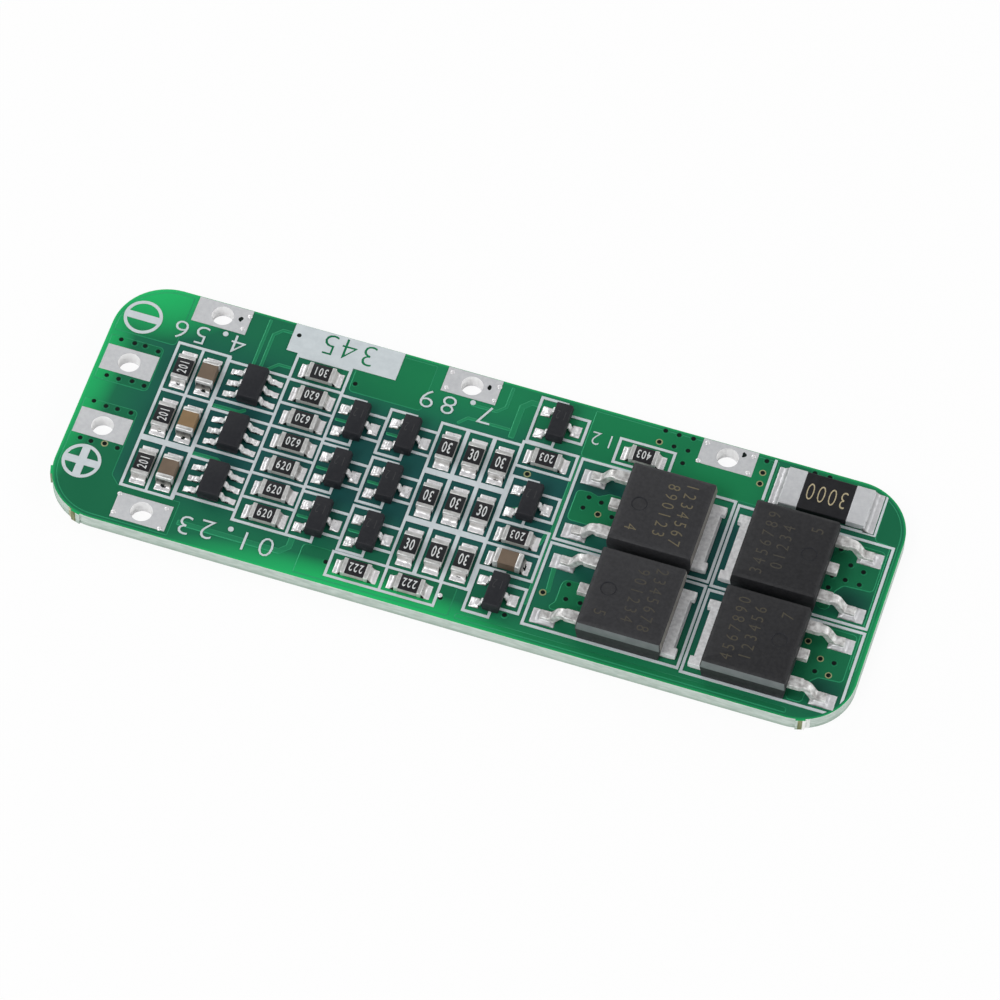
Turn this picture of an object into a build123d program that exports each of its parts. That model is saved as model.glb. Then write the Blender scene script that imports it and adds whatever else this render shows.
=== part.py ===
from build123d import *
import os

# Battery charger and protection module: a bare circuit board with surface mounted parts.
# Sizes are millimetres. The origin is the centre of the underside, x runs along the board
# towards the power transistors, y towards the edge with three terminals, z up.

os.makedirs("parts", exist_ok=True)

# Board and its layers
board_thickness = 1.2
corner_radius = 4.0
stub_width = 0.7            # what is left of the break-off tabs
stub_reach = 0.12
stub_turn = 16.0            # degrees round the corner from its straight edges
copper_thickness = 0.04     # lands, and copper under the green mask
copper_edge_gap = 0.3
mask_gap = 0.08             # between masked copper and a bare land
ink_thickness = 0.02
ink_width = 0.2
ink_edge_gap = 0.2
ink_gap = 0.04              # between ink and a bare land

# Terminals: plated holes in bare lands
hole_diameter = 1.6         # inside the plating, which is part of the wall
end_land_length = 3.83
end_land_width = 2.17
end_land_margin = 0.37
end_pitch = 5.6
plus_y = 7.43               # from the front edge
tap_land_length = 4.05
tap_land_width = 2.1
back_tap_margin = 0.05
front_tap_margin = 0.54

# Chip resistors and capacitors
chip_length = 2.0
chip_width = 1.25
resistor_height = 0.5
capacitor_height = 0.8
band_length = 0.38
band_raise = 0.03           # end bands of a capacitor stand this far off its faces
coat_recess = 0.01          # the coat on a resistor, below the tops of its bands
land_width = 1.22
land_reach = 0.625          # land past the end of a chip
chip_climb = 0.34           # solder up the end of a chip

# Small outline packages, three leads and six leads
small_body_width = 1.3
monitor_body_width = 1.6
small_body_length = 2.9
small_body_height = 1.05
small_body_lift = 0.07
small_parting = 0.55        # height of the mould line
small_lead_width = 0.42
small_lead_thickness = 0.13
small_foot = 0.35
transistor_reach = 0.55     # lead past the body
transistor_lead_pitch = 1.9
monitor_reach = 0.6
monitor_lead_pitch = 0.95
small_land_width = 0.86
small_wide_land = 1.0
monitor_land_width = 0.52
small_land_reach = 0.4
monitor_land_reach = 0.55
small_climb = 0.11
mould_draft = 8.0           # degrees
power_draft = 6.0

# Power transistors with a soldered metal tab
power_length = 6.2          # body along x
power_width = 6.6
power_height = 2.3
power_lift = 0.05           # plastic above the underside of the tab
power_parting = 1.45
power_bevel = 0.25
power_top_bevel = 0.08
frame_thickness = 0.5
tab_width = 5.45
tab_reach = 0.95
tab_ear = 0.68
tab_recess = 0.3
slug_length = 4.6           # tab under the body
power_lead_reach = 2.72
power_lead_pitch = 4.66
power_lead_width = 0.66     # at the foot
power_shoulder_width = 0.82
power_shoulder_end = 0.9    # the wide part ends here, at the cut dam bar
power_lead_shoulder = 1.3
power_foot = 0.84
power_lead_bend = 0.35
lead_tuck = 0.8             # lead inside the body
stub_lead_reach = 0.72
power_land_tuck = 1.15
power_land_reach = 0.69
power_land_width = 1.25
power_climb = 0.3

# Current shunt
shunt_length = 6.3
shunt_width = 3.1
shunt_height = 0.58
shunt_band = 1.35
shunt_land_reach = 0.75
shunt_land_width = 3.4
shunt_climb = 0.4

# Gaps between the columns, from the left edge to the right
gap_end_filter = 1.34
gap_filter = 0.63
gap_filter_monitor = 0.77
gap_monitor_divider = 0.675
gap_divider_signal = 0.485
gap_signal_drive = 0.58
gap_drive_bleed = 0.72
gap_bleed = 0.755
gap_bleed_switch = 0.75
gap_switch_power = 1.15
gap_tabs = 0.96
right_margin = 0.96

# Gaps between the rows, from the front edge to the back
gap_tap_filter = 0.955
gap_row = 0.95
gap_divider = 0.81
divider_margin = 3.3
monitor_shift = 0.08
transistor_shift = -0.42
bleed_shift = -0.5
pull_margin = 1.055
switch_margin = 1.45
gap_switch_low = 0.73
gap_switch_chips = 0.83
gap_switch_mid = 0.8
gap_switch_high = 1.77
gap_switch_back = 0.97
power_margin = 1.12
gap_power = 0.68
power_stagger = 0.2         # the left pair stands further back
gap_power_shunt = 1.15
gap_power_start = 1.12
back_margin = 0.75
shunt_shift = 1.32
start_shift = -2.82
ground_tap_shift = 2.78
filter_tap_shift = 0.2

# Copper that shows as a lighter green under the mask
end_shelf = 0.86            # beyond the long sides of an end land
end_rim = 0.1               # beyond its inner end
tap_rim = 0.3
pour_bevel = 0.75
plus_pour_y = 3.1
corner_pour_depth = 4.6
front_pour_depth = 2.8
front_strip = 0.75
back_pour_depth = 4.3
back_pour_left = 1.55       # left of the signal transistors
back_pour_right = 2.78      # left of the third tap terminal
front_pour_left = 0.45
front_pour_right = 2.7      # left of the switch transistors
strip_left = 2.25
start_pour_left = 2.1       # right of the switch transistors
start_pour_right = 4.0      # left of the shunt
rim_left = 4.1              # right of the shunt
rim_depth = 2.2
power_pour = 1.3            # either side of a middle lead
power_pour_reach = 3.0
power_pour_gap = 1.2
rim_gap = 0.35              # between the lead lands and the copper at the right edge
track_width = 0.25
wide_track = 0.45
track_bend = 0.55           # length of the slanted pieces
front_track_y = 1.6
front_track_left = 0.6      # right of the front tap terminal
front_track_right = 1.9     # left of the signal transistors
monitor_track_start = 2.1
monitor_tracks = (-0.66, -0.1, 0.5)
monitor_track_ends = (0.3, 0.9)
tap_track_side = 0.4
tap_track_y = 2.6
switch_track_y = 1.1
switch_track_x = 2.1

# Printed frames: lines around the middle of what they enclose
row_line_below = 1.96       # upright chips
row_line_above = 2.14
column_line_left = 1.03
column_line_right = 0.92
chip_line_below = 0.93      # chips that lie along the board
chip_line_above = 1.11
chip_line_side = 2.0
divider_line_left = 2.1
monitor_line_below = 1.47
monitor_line_above = 1.8
tee_left = 1.85             # three lead packages, stepped at the single lead
tee_right = 1.9
tee_below = 1.8
tee_above = 2.0
nib_below = 0.9
nib_above = 1.13
power_line_below = 3.25
power_line_above = 3.66
power_line_lead = 0.38      # past the lead lands
power_line_tab = 0.33       # past the tab
shunt_line_left = 4.27
shunt_line_right = 4.0
shunt_line_below = 1.73
shunt_line_above = 1.6
shunt_line_length = 2.4
shunt_line_start = 1.3

# What follows from the sizes above, measured from the left and front edges
chip_span = chip_length + 2 * land_reach
small_span = small_body_width + 2 * (transistor_reach + small_land_reach)
monitor_span = monitor_body_width + 2 * (monitor_reach + monitor_land_reach)

filter_resistor_x = end_land_margin + end_land_length + gap_end_filter + land_width / 2
filter_capacitor_x = filter_resistor_x + land_width + gap_filter
monitor_x = filter_capacitor_x + land_width / 2 + gap_filter_monitor + monitor_span / 2
divider_x = monitor_x + monitor_span / 2 + gap_monitor_divider + chip_span / 2
signal_x = divider_x + chip_span / 2 + gap_divider_signal + small_span / 2
drive_x = signal_x + small_span + gap_signal_drive
bleed_pitch = land_width + gap_bleed
bleed_x = drive_x + small_span / 2 + gap_drive_bleed + land_width / 2
switch_x = bleed_x + 2 * bleed_pitch + land_width / 2 + gap_bleed_switch + small_span / 2
power_reach = power_length / 2 + power_lead_reach + power_land_reach
tab_end = power_length / 2 + tab_reach
power_left_x = switch_x + small_span / 2 + gap_switch_power + power_reach
power_right_x = power_left_x + 2 * tab_end + gap_tabs
board_length = power_right_x + power_reach + right_margin

front_tap_y = front_tap_margin + tap_land_width / 2
row_pitch = chip_span + gap_row
filter_y = front_tap_margin + tap_land_width + gap_tap_filter + chip_span / 2
divider_pitch = chip_width + gap_divider
divider_y = divider_margin + chip_width / 2
pull_y = pull_margin + chip_width / 2
low_switch_y = switch_margin + small_body_length / 2
timing_capacitor_y = low_switch_y + small_body_length / 2 + gap_switch_low + chip_width / 2
low_timing_y = timing_capacitor_y + chip_width + gap_switch_chips
mid_switch_y = low_timing_y + chip_width / 2 + gap_switch_mid + small_body_length / 2
high_timing_y = mid_switch_y + small_body_length / 2 + gap_switch_high + chip_width / 2
high_switch_y = high_timing_y + chip_width / 2 + gap_switch_back + small_body_length / 2
front_right_y = power_margin + power_width / 2
back_right_y = front_right_y + power_width + gap_power
front_left_y = front_right_y + power_stagger
back_left_y = back_right_y + power_stagger
shunt_y = back_right_y + power_width / 2 + gap_power_shunt + shunt_width / 2
start_y = back_left_y + power_width / 2 + gap_power_start + land_width / 2
board_width = max(
    shunt_y + shunt_width / 2 + back_margin,
    high_switch_y + small_body_length / 2 + back_margin,
)
back_tap_y = board_width - back_tap_margin - tap_land_width / 2

seat = board_thickness + copper_thickness


def place(x, y, angle=0, z=seat):
    """The place of a part, from its distances to the left and front edges."""
    return Pos(x - board_length / 2, y - board_width / 2, z) * Rot(0, 0, angle)


def block(x0, x1, y0, y1, z0, z1):
    low = (Align.MIN, Align.MIN, Align.MIN)
    return Pos(x0, y0, z0) * Box(x1 - x0, y1 - y0, z1 - z0, align=low)


def area(x0, x1, y0, y1):
    """A rectangle, from distances to the left and front edges."""
    middle = place((x0 + x1) / 2, (y0 + y1) / 2, 0, 0)
    return middle * Rectangle(abs(x1 - x0), abs(y1 - y0))


def outline(points):
    """A polygon, from distances to the left and front edges."""
    moved = [(x - board_length / 2, y - board_width / 2) for x, y in points]
    return make_face(Polyline(*moved, close=True))


# Places of the repeated parts
row_ys = [filter_y + row_pitch * i for i in range(3)]
divider_ys = [divider_y + divider_pitch * i for i in range(7)]
bleed_xs = [bleed_x + bleed_pitch * i for i in range(3)]
filter_tap_x = (filter_resistor_x + filter_capacitor_x) / 2 + filter_tap_shift
pull_xs = [drive_x, bleed_x + bleed_pitch / 2]
start_x = power_left_x + start_shift
shunt_x = power_right_x + shunt_shift

resistors = {}
for i, y in enumerate(row_ys):
    resistors[f"filter_resistor_{i + 1}"] = place(filter_resistor_x, y, 90)
for i, y in enumerate(divider_ys[:6]):
    resistors[f"divider_resistor_{i + 1}"] = place(divider_x, y)
resistors["input_resistor"] = place(divider_x, divider_ys[6])
for i, y in enumerate(row_ys):
    for j, x in enumerate(bleed_xs):
        resistors[f"bleed_resistor_{3 * i + j + 1}"] = place(x, y + bleed_shift, 90)
for i, x in enumerate(pull_xs):
    resistors[f"pull_resistor_{i + 1}"] = place(x, pull_y)
for i, y in enumerate([low_timing_y, high_timing_y]):
    resistors[f"timing_resistor_{i + 1}"] = place(switch_x, y)
resistors["start_resistor"] = place(start_x, start_y)

capacitors = {}
for i, y in enumerate(row_ys):
    capacitors[f"filter_capacitor_{i + 1}"] = place(filter_capacitor_x, y, 90)
capacitors["timing_capacitor"] = place(switch_x, timing_capacitor_y)

monitors = {}
for i, y in enumerate(row_ys):
    monitors[f"cell_monitor_{i + 1}"] = place(monitor_x, y + monitor_shift)

transistors = {}
for i, y in enumerate(row_ys):
    transistors[f"signal_transistor_{i + 1}"] = place(signal_x, y + transistor_shift)
    transistors[f"drive_transistor_{i + 1}"] = place(drive_x, y + transistor_shift)
for i, y in enumerate([low_switch_y, mid_switch_y, high_switch_y]):
    transistors[f"switch_transistor_{i + 1}"] = place(switch_x, y)

power_spots = {
    "power_transistor_1": (power_left_x, back_left_y, 0),
    "power_transistor_2": (power_left_x, front_left_y, 0),
    "power_transistor_3": (power_right_x, back_right_y, 180),
    "power_transistor_4": (power_right_x, front_right_y, 180),
}
power_places = {name: place(x, y, turn) for name, (x, y, turn) in power_spots.items()}

end_land_x = end_land_margin + end_land_length / 2
terminals = {
    "terminal_minus": (end_land_x, plus_y + end_pitch, end_land_length, end_land_width),
    "terminal_plus": (end_land_x, plus_y, end_land_length, end_land_width),
    "tap_terminal_1": (filter_tap_x, front_tap_y, tap_land_length, tap_land_width),
    "tap_terminal_2": (filter_tap_x, back_tap_y, tap_land_length, tap_land_width),
    "tap_terminal_3": (bleed_x, back_tap_y, tap_land_length, tap_land_width),
    "tap_terminal_4": (
        power_left_x + ground_tap_shift,
        back_tap_y,
        tap_land_length,
        tap_land_width,
    ),
}


def board_outline():
    """The rounded board, with the stubs of the break-off tabs on its front corners."""
    plate = RectangleRounded(board_length, board_width, corner_radius)
    cx = board_length / 2 - corner_radius
    cy = board_width / 2 - corner_radius
    for sx, turn in [(-1, 180 + stub_turn), (-1, 270 - stub_turn), (1, 270 + stub_turn)]:
        stub = Pos(corner_radius, 0) * Rectangle(2 * stub_reach, stub_width)
        plate += Pos(sx * cx, -cy) * Rot(0, 0, turn) * stub
    return plate


def terminal(length, width):
    """The lands on both sides of a plated hole, the lower one flush with the underside."""
    low = (Align.CENTER, Align.CENTER, Align.MIN)
    lower = Box(length, width, copper_thickness, align=low)
    lower -= Cylinder(hole_diameter / 2, copper_thickness, align=low)
    return [lower, Pos(0, 0, board_thickness) * lower]


def chip_resistor(length, width, height, band):
    """A ceramic chip with bands over its ends, and a coat a little lower between them."""
    half = length / 2
    coat = height - coat_recess
    profile = Polyline(
        (-half, 0),
        (half, 0),
        (half, height),
        (half - band, height),
        (half - band, coat),
        (band - half, coat),
        (band - half, height),
        (-half, height),
        close=True,
    )
    return extrude(Plane.XZ * make_face(profile), width / 2, both=True)


def chip_capacitor():
    """A ceramic block with a thicker band round each end."""
    half = chip_length / 2
    side = chip_width / 2
    inner = side - band_raise
    chip = block(-half, half, -inner, inner, 0, capacitor_height - band_raise)
    band = block(half - band_length, half, -side, side, 0, capacitor_height)
    return chip + band + mirror(band, Plane.YZ)


def moulded_body(length, width, lift, parting, height, angle):
    """A moulded body, widest at its mould line and drafted above and below it."""
    line = Plane.XY.offset(parting)
    ends = (-length / 2, length / 2, -width / 2, width / 2)
    above = block(*ends, parting, height)
    below = block(*ends, lift, parting)
    above = draft(above.faces().filter_by(Axis.Z, reverse=True), line, angle)
    below = draft(below.faces().filter_by(Axis.Z, reverse=True), line, -angle)
    return above + below


def bent_lead(points, width, thickness, bend=0.0):
    """A strip lead along a path in the XZ plane."""
    corners = [(x, 0, z) for x, z in points]
    path = FilletPolyline(*corners, radius=bend) if bend else Polyline(*corners)
    section = Plane(path @ 0, x_dir=(0, 1, 0), z_dir=path % 0) * Rectangle(width, thickness)
    return sweep(section, path, transition=Transition.RIGHT)


def small_lead(body_width, reach):
    """A lead of a small outline package, on its +x side, leaving under the mould line."""
    half = small_lead_thickness / 2
    side = body_width / 2
    tip = side + reach
    exit_z = small_parting - half
    return bent_lead(
        [(side / 2, exit_z), (side, exit_z), (tip - small_foot, half), (tip, half)],
        small_lead_width,
        small_lead_thickness,
    )


def small_package(body_width, reach, left_ys, right_ys):
    body = moulded_body(
        body_width,
        small_body_length,
        small_body_lift,
        small_parting,
        small_body_height,
        mould_draft,
    )
    lead = small_lead(body_width, reach)
    for y in right_ys:
        body += Pos(0, y, 0) * lead
    for y in left_ys:
        body += Pos(0, y, 0) * Rot(0, 0, 180) * lead
    return body


def formed_lead():
    """A lead of a power transistor, wide up to its cut dam bar and narrow at the foot."""
    body_end = -power_length / 2
    half = frame_thickness / 2
    tip = body_end - power_lead_reach
    strip = bent_lead(
        [
            (body_end + lead_tuck, power_parting - half),
            (body_end - power_lead_shoulder, power_parting - half),
            (tip + power_foot, half),
            (tip, half),
        ],
        power_lead_width,
        frame_thickness,
        power_lead_bend,
    )
    wide = power_shoulder_width / 2
    return strip + block(
        body_end - power_shoulder_end,
        body_end + lead_tuck,
        -wide,
        wide,
        power_parting - frame_thickness,
        power_parting,
    )


def power_leadframe():
    """The tab with its cropped middle lead, and the two formed leads, as three strips."""
    body_end = power_length / 2
    slug_start = body_end - slug_length
    half = frame_thickness / 2
    tab = block(slug_start, tab_end, -tab_width / 2, tab_width / 2, 0, frame_thickness)
    tab -= block(
        tab_end - tab_recess,
        tab_end,
        tab_ear - tab_width / 2,
        tab_width / 2 - tab_ear,
        0,
        frame_thickness,
    )
    lead_z = power_parting - half
    middle = bent_lead(
        [
            (slug_start + half, half),
            (slug_start + half, lead_z),
            (-body_end - stub_lead_reach, lead_z),
        ],
        power_shoulder_width,
        frame_thickness,
    )
    lead = formed_lead()
    lead_y = power_lead_pitch / 2
    return [tab + middle, Pos(0, lead_y, 0) * lead, Pos(0, -lead_y, 0) * lead]


def power_body(leadframe):
    """The moulded body over the leadframe."""
    body = moulded_body(
        power_length, power_width, power_lift, power_parting, power_height, power_draft
    )
    rim = body.faces().sort_by(Axis.Z)[-1].edges()
    body = chamfer(rim, power_top_bevel, power_bevel)
    for strip in leadframe:
        body -= strip
    return body


def end_joint(reach, width, climb):
    """The solder that holds the end of a chip, which stands at x = 0, on its land."""
    profile = Polyline((0, 0), (reach, 0), (0, copper_thickness + climb), close=True)
    return extrude(Plane.XZ * make_face(profile), width / 2, both=True)


def foot_joint(foot, reach, width, climb):
    """A land under the foot of a lead, and the solder at its tip, which stands at x = 0."""
    low = (Align.MAX, Align.CENTER, Align.MIN)
    return end_joint(reach, width, climb) + Box(foot, width, copper_thickness, align=low)


def all_joints():
    """Every soldered land, one solid each."""
    down = Pos(0, 0, -copper_thickness)
    turn = Rot(0, 0, 180)
    chip = Pos(chip_length / 2, 0, 0) * end_joint(land_reach, land_width, chip_climb)
    found = []
    for spot in list(resistors.values()) + list(capacitors.values()):
        found += [spot * down * chip, spot * down * turn * chip]

    end = small_body_width / 2 + transistor_reach
    narrow = foot_joint(small_foot, small_land_reach, small_land_width, small_climb)
    narrow = Pos(end, 0, 0) * narrow
    wide = foot_joint(small_foot, small_land_reach, small_wide_land, small_climb)
    wide = Pos(end, 0, 0) * wide
    for spot in transistors.values():
        for sign in (-1, 1):
            aside = Pos(0, sign * transistor_lead_pitch / 2, 0)
            found.append(spot * down * aside * turn * narrow)
        found.append(spot * down * wide)

    end = monitor_body_width / 2 + monitor_reach
    toe = foot_joint(small_foot, monitor_land_reach, monitor_land_width, small_climb)
    toe = Pos(end, 0, 0) * toe
    for spot in monitors.values():
        for step in (-1, 0, 1):
            aside = Pos(0, step * monitor_lead_pitch, 0)
            found += [spot * down * aside * toe, spot * down * aside * turn * toe]

    end = power_length / 2 + power_lead_reach
    foot = foot_joint(power_land_tuck, power_land_reach, power_land_width, power_climb)
    foot = turn * Pos(end, 0, 0) * foot
    slug = block(
        power_length / 2 - slug_length,
        tab_end - tab_recess,
        -tab_width / 2,
        tab_width / 2,
        0,
        copper_thickness,
    )
    for spot in power_places.values():
        for sign in (-1, 1):
            found.append(spot * down * Pos(0, sign * power_lead_pitch / 2, 0) * foot)
        found.append(spot * down * slug)

    end = end_joint(shunt_land_reach, shunt_land_width, shunt_climb)
    end = Pos(shunt_length / 2, 0, 0) * end
    for side in (Rot(0, 0, 0), turn):
        found.append(place(shunt_x, shunt_y) * down * side * end)
    return found


def keep_out(shapes, gap):
    """Rectangles round the given shapes, seen from above."""
    boxes = [shape.bounding_box() for shape in shapes]
    return [
        Pos(box.center().X, box.center().Y)
        * Rectangle(box.size.X + 2 * gap, box.size.Y + 2 * gap)
        for box in boxes
    ]


def track(points, width=track_width):
    moved = [(x - board_length / 2, y - board_width / 2) for x, y in points]
    return trace(Polyline(*moved), line_width=width)


def pours():
    """Areas of copper under the mask."""
    end_right = end_land_margin + end_land_length + end_rim
    minus_y = plus_y + end_pitch
    shelf = end_land_width / 2 + end_shelf
    back_y = board_width - back_pour_depth
    tap_left = filter_tap_x - tap_land_length / 2 - tap_rim
    tap_right = filter_tap_x + tap_land_length / 2 + tap_rim
    lead_left = power_left_x - power_reach
    lead_right = power_right_x + power_reach
    reach = power_pour_reach
    left_end = [
        area(0, end_right, minus_y - shelf, minus_y + shelf),
        outline(
            [
                (0, plus_y + shelf),
                (end_right, plus_y + shelf),
                (end_right, plus_pour_y + pour_bevel),
                (end_right + pour_bevel, plus_pour_y),
                (tap_right, plus_pour_y),
                (tap_right, 0),
                (0, 0),
            ]
        ),
        area(0, tap_left, board_width - corner_pour_depth, board_width),
    ]
    middle = [
        area(signal_x - front_pour_left, switch_x - front_pour_right, 0, front_pour_depth),
        area(signal_x - back_pour_left, bleed_x - back_pour_right, back_y, board_width),
        area(switch_x - strip_left, lead_right, 0, front_strip),
        area(switch_x + start_pour_left, shunt_x - start_pour_right, back_y, board_width),
    ]
    power = [
        area(lead_left, lead_left + reach, back_left_y - power_pour, back_left_y + power_pour),
        area(
            lead_left + power_pour_gap,
            lead_left + reach,
            front_left_y - power_pour,
            front_left_y + power_pour,
        ),
        area(lead_right - reach, lead_right, back_right_y, back_right_y + power_pour),
        area(
            lead_right - reach,
            lead_right,
            front_right_y - power_pour / 2,
            front_right_y + power_pour,
        ),
        area(lead_right + rim_gap, board_length, corner_radius, board_width),
        area(shunt_x + rim_left, board_length, shunt_y - rim_depth, board_width),
    ]
    return left_end + middle + power


def tracks():
    """Lines of copper under the mask."""
    back_y = board_width - back_pour_depth
    monitor_back = row_ys[2] + monitor_track_start
    left_x, middle_x, right_x = [monitor_x + shift for shift in monitor_tracks]
    short_end, long_end = [board_width - end for end in monitor_track_ends]
    turn_x = signal_x - front_track_right
    bleed_end = bleed_xs[2]
    tap_y = board_width - tap_track_y
    tap_turn = bleed_end - 3 * track_bend
    found = [
        track([(left_x, monitor_back), (left_x, short_end)]),
        track(
            [
                (middle_x, monitor_back),
                (middle_x, long_end - track_bend),
                (middle_x + track_bend, long_end),
                (middle_x + 3 * track_bend, long_end),
            ]
        ),
        track(
            [
                (right_x, monitor_back),
                (right_x + track_bend, monitor_back + track_bend),
                (divider_x - divider_line_left, monitor_back + track_bend),
            ]
        ),
        track(
            [
                (filter_tap_x + tap_land_length / 2 + front_track_left, front_track_y),
                (turn_x, front_track_y),
                (turn_x + track_bend, front_track_y + track_bend),
                (turn_x + track_bend, front_pour_depth),
            ],
            wide_track,
        ),
        track(
            [
                (bleed_end, back_y),
                (bleed_end, board_width - switch_track_y - track_bend),
                (bleed_end + track_bend, board_width - switch_track_y),
                (switch_x - tee_left, board_width - switch_track_y),
            ],
            wide_track,
        ),
        track(
            [
                (bleed_x, back_y),
                (bleed_x + track_bend, back_y + track_bend),
                (bleed_end - wide_track, back_y + track_bend),
            ]
        ),
        track(
            [
                (bleed_x + tap_track_side, tap_y),
                (tap_turn, tap_y),
                (tap_turn + track_bend, tap_y + track_bend),
                (tap_turn + track_bend, short_end),
            ]
        ),
        track([(switch_x + switch_track_x, low_switch_y), (switch_x + switch_track_x, back_y)]),
    ]
    for x in (signal_x, drive_x):
        for y in row_ys:
            level_y = y + transistor_shift
            side = small_body_width / 2
            found.append(track([(x - small_span / 2, level_y), (x - side, level_y)]))
    return found


def copper_layer(lands):
    """The raised areas of copper on the top, clear of the bare lands and the edge."""
    inner = RectangleRounded(
        board_length - 2 * copper_edge_gap,
        board_width - 2 * copper_edge_gap,
        corner_radius - copper_edge_gap,
    )
    shapes = pours() + tracks()
    whole = shapes[0] + shapes[1:]
    whole = (whole & inner) - keep_out(lands, mask_gap)
    return extrude(Pos(0, 0, board_thickness) * whole, copper_thickness)


def upright(x, y0, y1):
    """A printed line along y."""
    half = ink_width / 2
    return area(x - half, x + half, y0 - half, y1 + half)


def level(y, x0, x1):
    """A printed line along x."""
    half = ink_width / 2
    return area(x0 - half, x1 + half, y - half, y + half)


def ruled(xs, ys):
    """A frame with a line at each x and each y, given in rising order."""
    lines = [upright(x, ys[0], ys[-1]) for x in xs]
    return lines + [level(y, xs[0], xs[-1]) for y in ys]


def tee(x, y):
    """The frame of a three lead package."""
    main = area(x - tee_left, x, y - tee_below, y + tee_above)
    nib = area(x, x + tee_right, y - nib_below, y + nib_above)
    outer = offset(main + nib, ink_width / 2, kind=Kind.INTERSECTION)
    return outer - offset(main + nib, -ink_width / 2, kind=Kind.INTERSECTION)


def printed_frames():
    """The frames printed round the parts."""
    frames = []
    for columns, shift in [((filter_resistor_x, filter_capacitor_x), 0), (bleed_xs, bleed_shift)]:
        xs = [x - column_line_left for x in columns] + [columns[-1] + column_line_right]
        ys = [y + shift - row_line_below for y in row_ys]
        frames += ruled(xs, ys + [row_ys[2] + shift + row_line_above])
    filter_right = filter_capacitor_x + column_line_right
    divider_left = divider_x - divider_line_left
    for y in row_ys:
        frames.append(level(y - monitor_line_below, filter_right, divider_left))
        frames.append(level(y + monitor_line_above, filter_right, divider_left))
    lines = [y - chip_line_below for y in divider_ys] + [divider_ys[6] + chip_line_above]
    frames += ruled([divider_left, signal_x - tee_left], lines)
    for y in row_ys:
        frames += [tee(signal_x, y + transistor_shift), tee(drive_x, y + transistor_shift)]
    for y in (low_switch_y, mid_switch_y, high_switch_y):
        frames.append(tee(switch_x, y))
    sides = [switch_x - chip_line_side, switch_x + chip_line_side]
    frames += ruled(sides, [high_timing_y - chip_line_below, high_timing_y + chip_line_above])
    lines = [y - chip_line_below for y in (timing_capacitor_y, low_timing_y)]
    frames += ruled(sides, lines + [low_timing_y + chip_line_above])
    between = (pull_xs[0] + pull_xs[1]) / 2
    sides = [pull_xs[0] - chip_line_side, between, pull_xs[1] + chip_line_side]
    frames += ruled(sides, [pull_y - chip_line_below, row_ys[0] + bleed_shift - row_line_below])
    sides = [start_x - chip_line_side, start_x + chip_line_side]
    frames += ruled(sides, [start_y - chip_line_below, start_y + chip_line_above])
    for x, y, turn in power_spots.values():
        toward_leads = 1 if turn else -1
        lead_side = x + toward_leads * (power_reach + power_line_lead)
        tab_side = x - toward_leads * (tab_end + power_line_tab)
        sides = sorted([lead_side, tab_side])
        frames += ruled(sides, [y - power_line_below, y + power_line_above])
    shunt_low = shunt_y - shunt_line_below
    shunt_right = shunt_x + shunt_line_right
    frames += [
        level(shunt_low, shunt_right - shunt_line_length, shunt_right),
        upright(shunt_right, shunt_low, shunt_y + shunt_line_above),
        upright(shunt_x - shunt_line_left, shunt_y - shunt_line_start, board_width),
    ]
    return frames


def ink_layer(lands, copper):
    """The printed frames, on the board and over the edges of the copper."""
    frames = printed_frames()
    inner = RectangleRounded(
        board_length - 2 * ink_edge_gap,
        board_width - 2 * ink_edge_gap,
        corner_radius - ink_edge_gap,
    )
    flat = (frames[0] + frames[1:]) & inner
    flat = flat - keep_out(lands, ink_gap)
    print_height = copper_thickness + ink_thickness
    return extrude(Pos(0, 0, board_thickness) * flat, print_height) - copper


joints = all_joints()
leadframe = power_leadframe()
body = power_body(leadframe)
resistor = chip_resistor(chip_length, chip_width, resistor_height, band_length)
capacitor = chip_capacitor()
shunt = chip_resistor(shunt_length, shunt_width, shunt_height, shunt_band)
half_pitch = transistor_lead_pitch / 2
transistor = small_package(small_body_width, transistor_reach, (-half_pitch, half_pitch), (0,))
monitor_steps = (-monitor_lead_pitch, 0, monitor_lead_pitch)
monitor = small_package(monitor_body_width, monitor_reach, monitor_steps, monitor_steps)

nodes = {}
for name, (x, y, length, width) in terminals.items():
    pair = [place(x, y, 0, 0) * land for land in terminal(length, width)]
    nodes[name] = Compound(children=pair)
for name, spot in resistors.items():
    nodes[name] = spot * resistor
for name, spot in capacitors.items():
    nodes[name] = spot * capacitor
for name, spot in monitors.items():
    nodes[name] = spot * monitor
for name, spot in transistors.items():
    nodes[name] = spot * transistor
for name, spot in power_places.items():
    nodes[name] = spot * body
    nodes[name + "_leadframe"] = Compound(children=[spot * strip for strip in leadframe])
nodes["shunt_resistor"] = place(shunt_x, shunt_y) * shunt
nodes["solder_joints"] = Compound(children=joints)

board = extrude(board_outline(), board_thickness)
for name, (x, y, length, width) in terminals.items():
    board -= nodes[name].solids()
    board -= place(x, y, 0, board_thickness / 2) * Cylinder(hole_diameter / 2, board_thickness)
nodes["circuit_board"] = board

lands = joints + [nodes[name] for name in terminals]
copper = copper_layer(lands)
nodes["top_copper"] = copper
nodes["printed_frames"] = ink_layer(lands, copper)

for name, shape in nodes.items():
    export_step(shape, f"parts/{name}.step")
print("board", round(board_length, 3), round(board_width, 3), "nodes", len(nodes))
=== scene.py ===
import bpy
import bmesh
import math
import random
from mathutils import Matrix, Vector, noise


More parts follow.
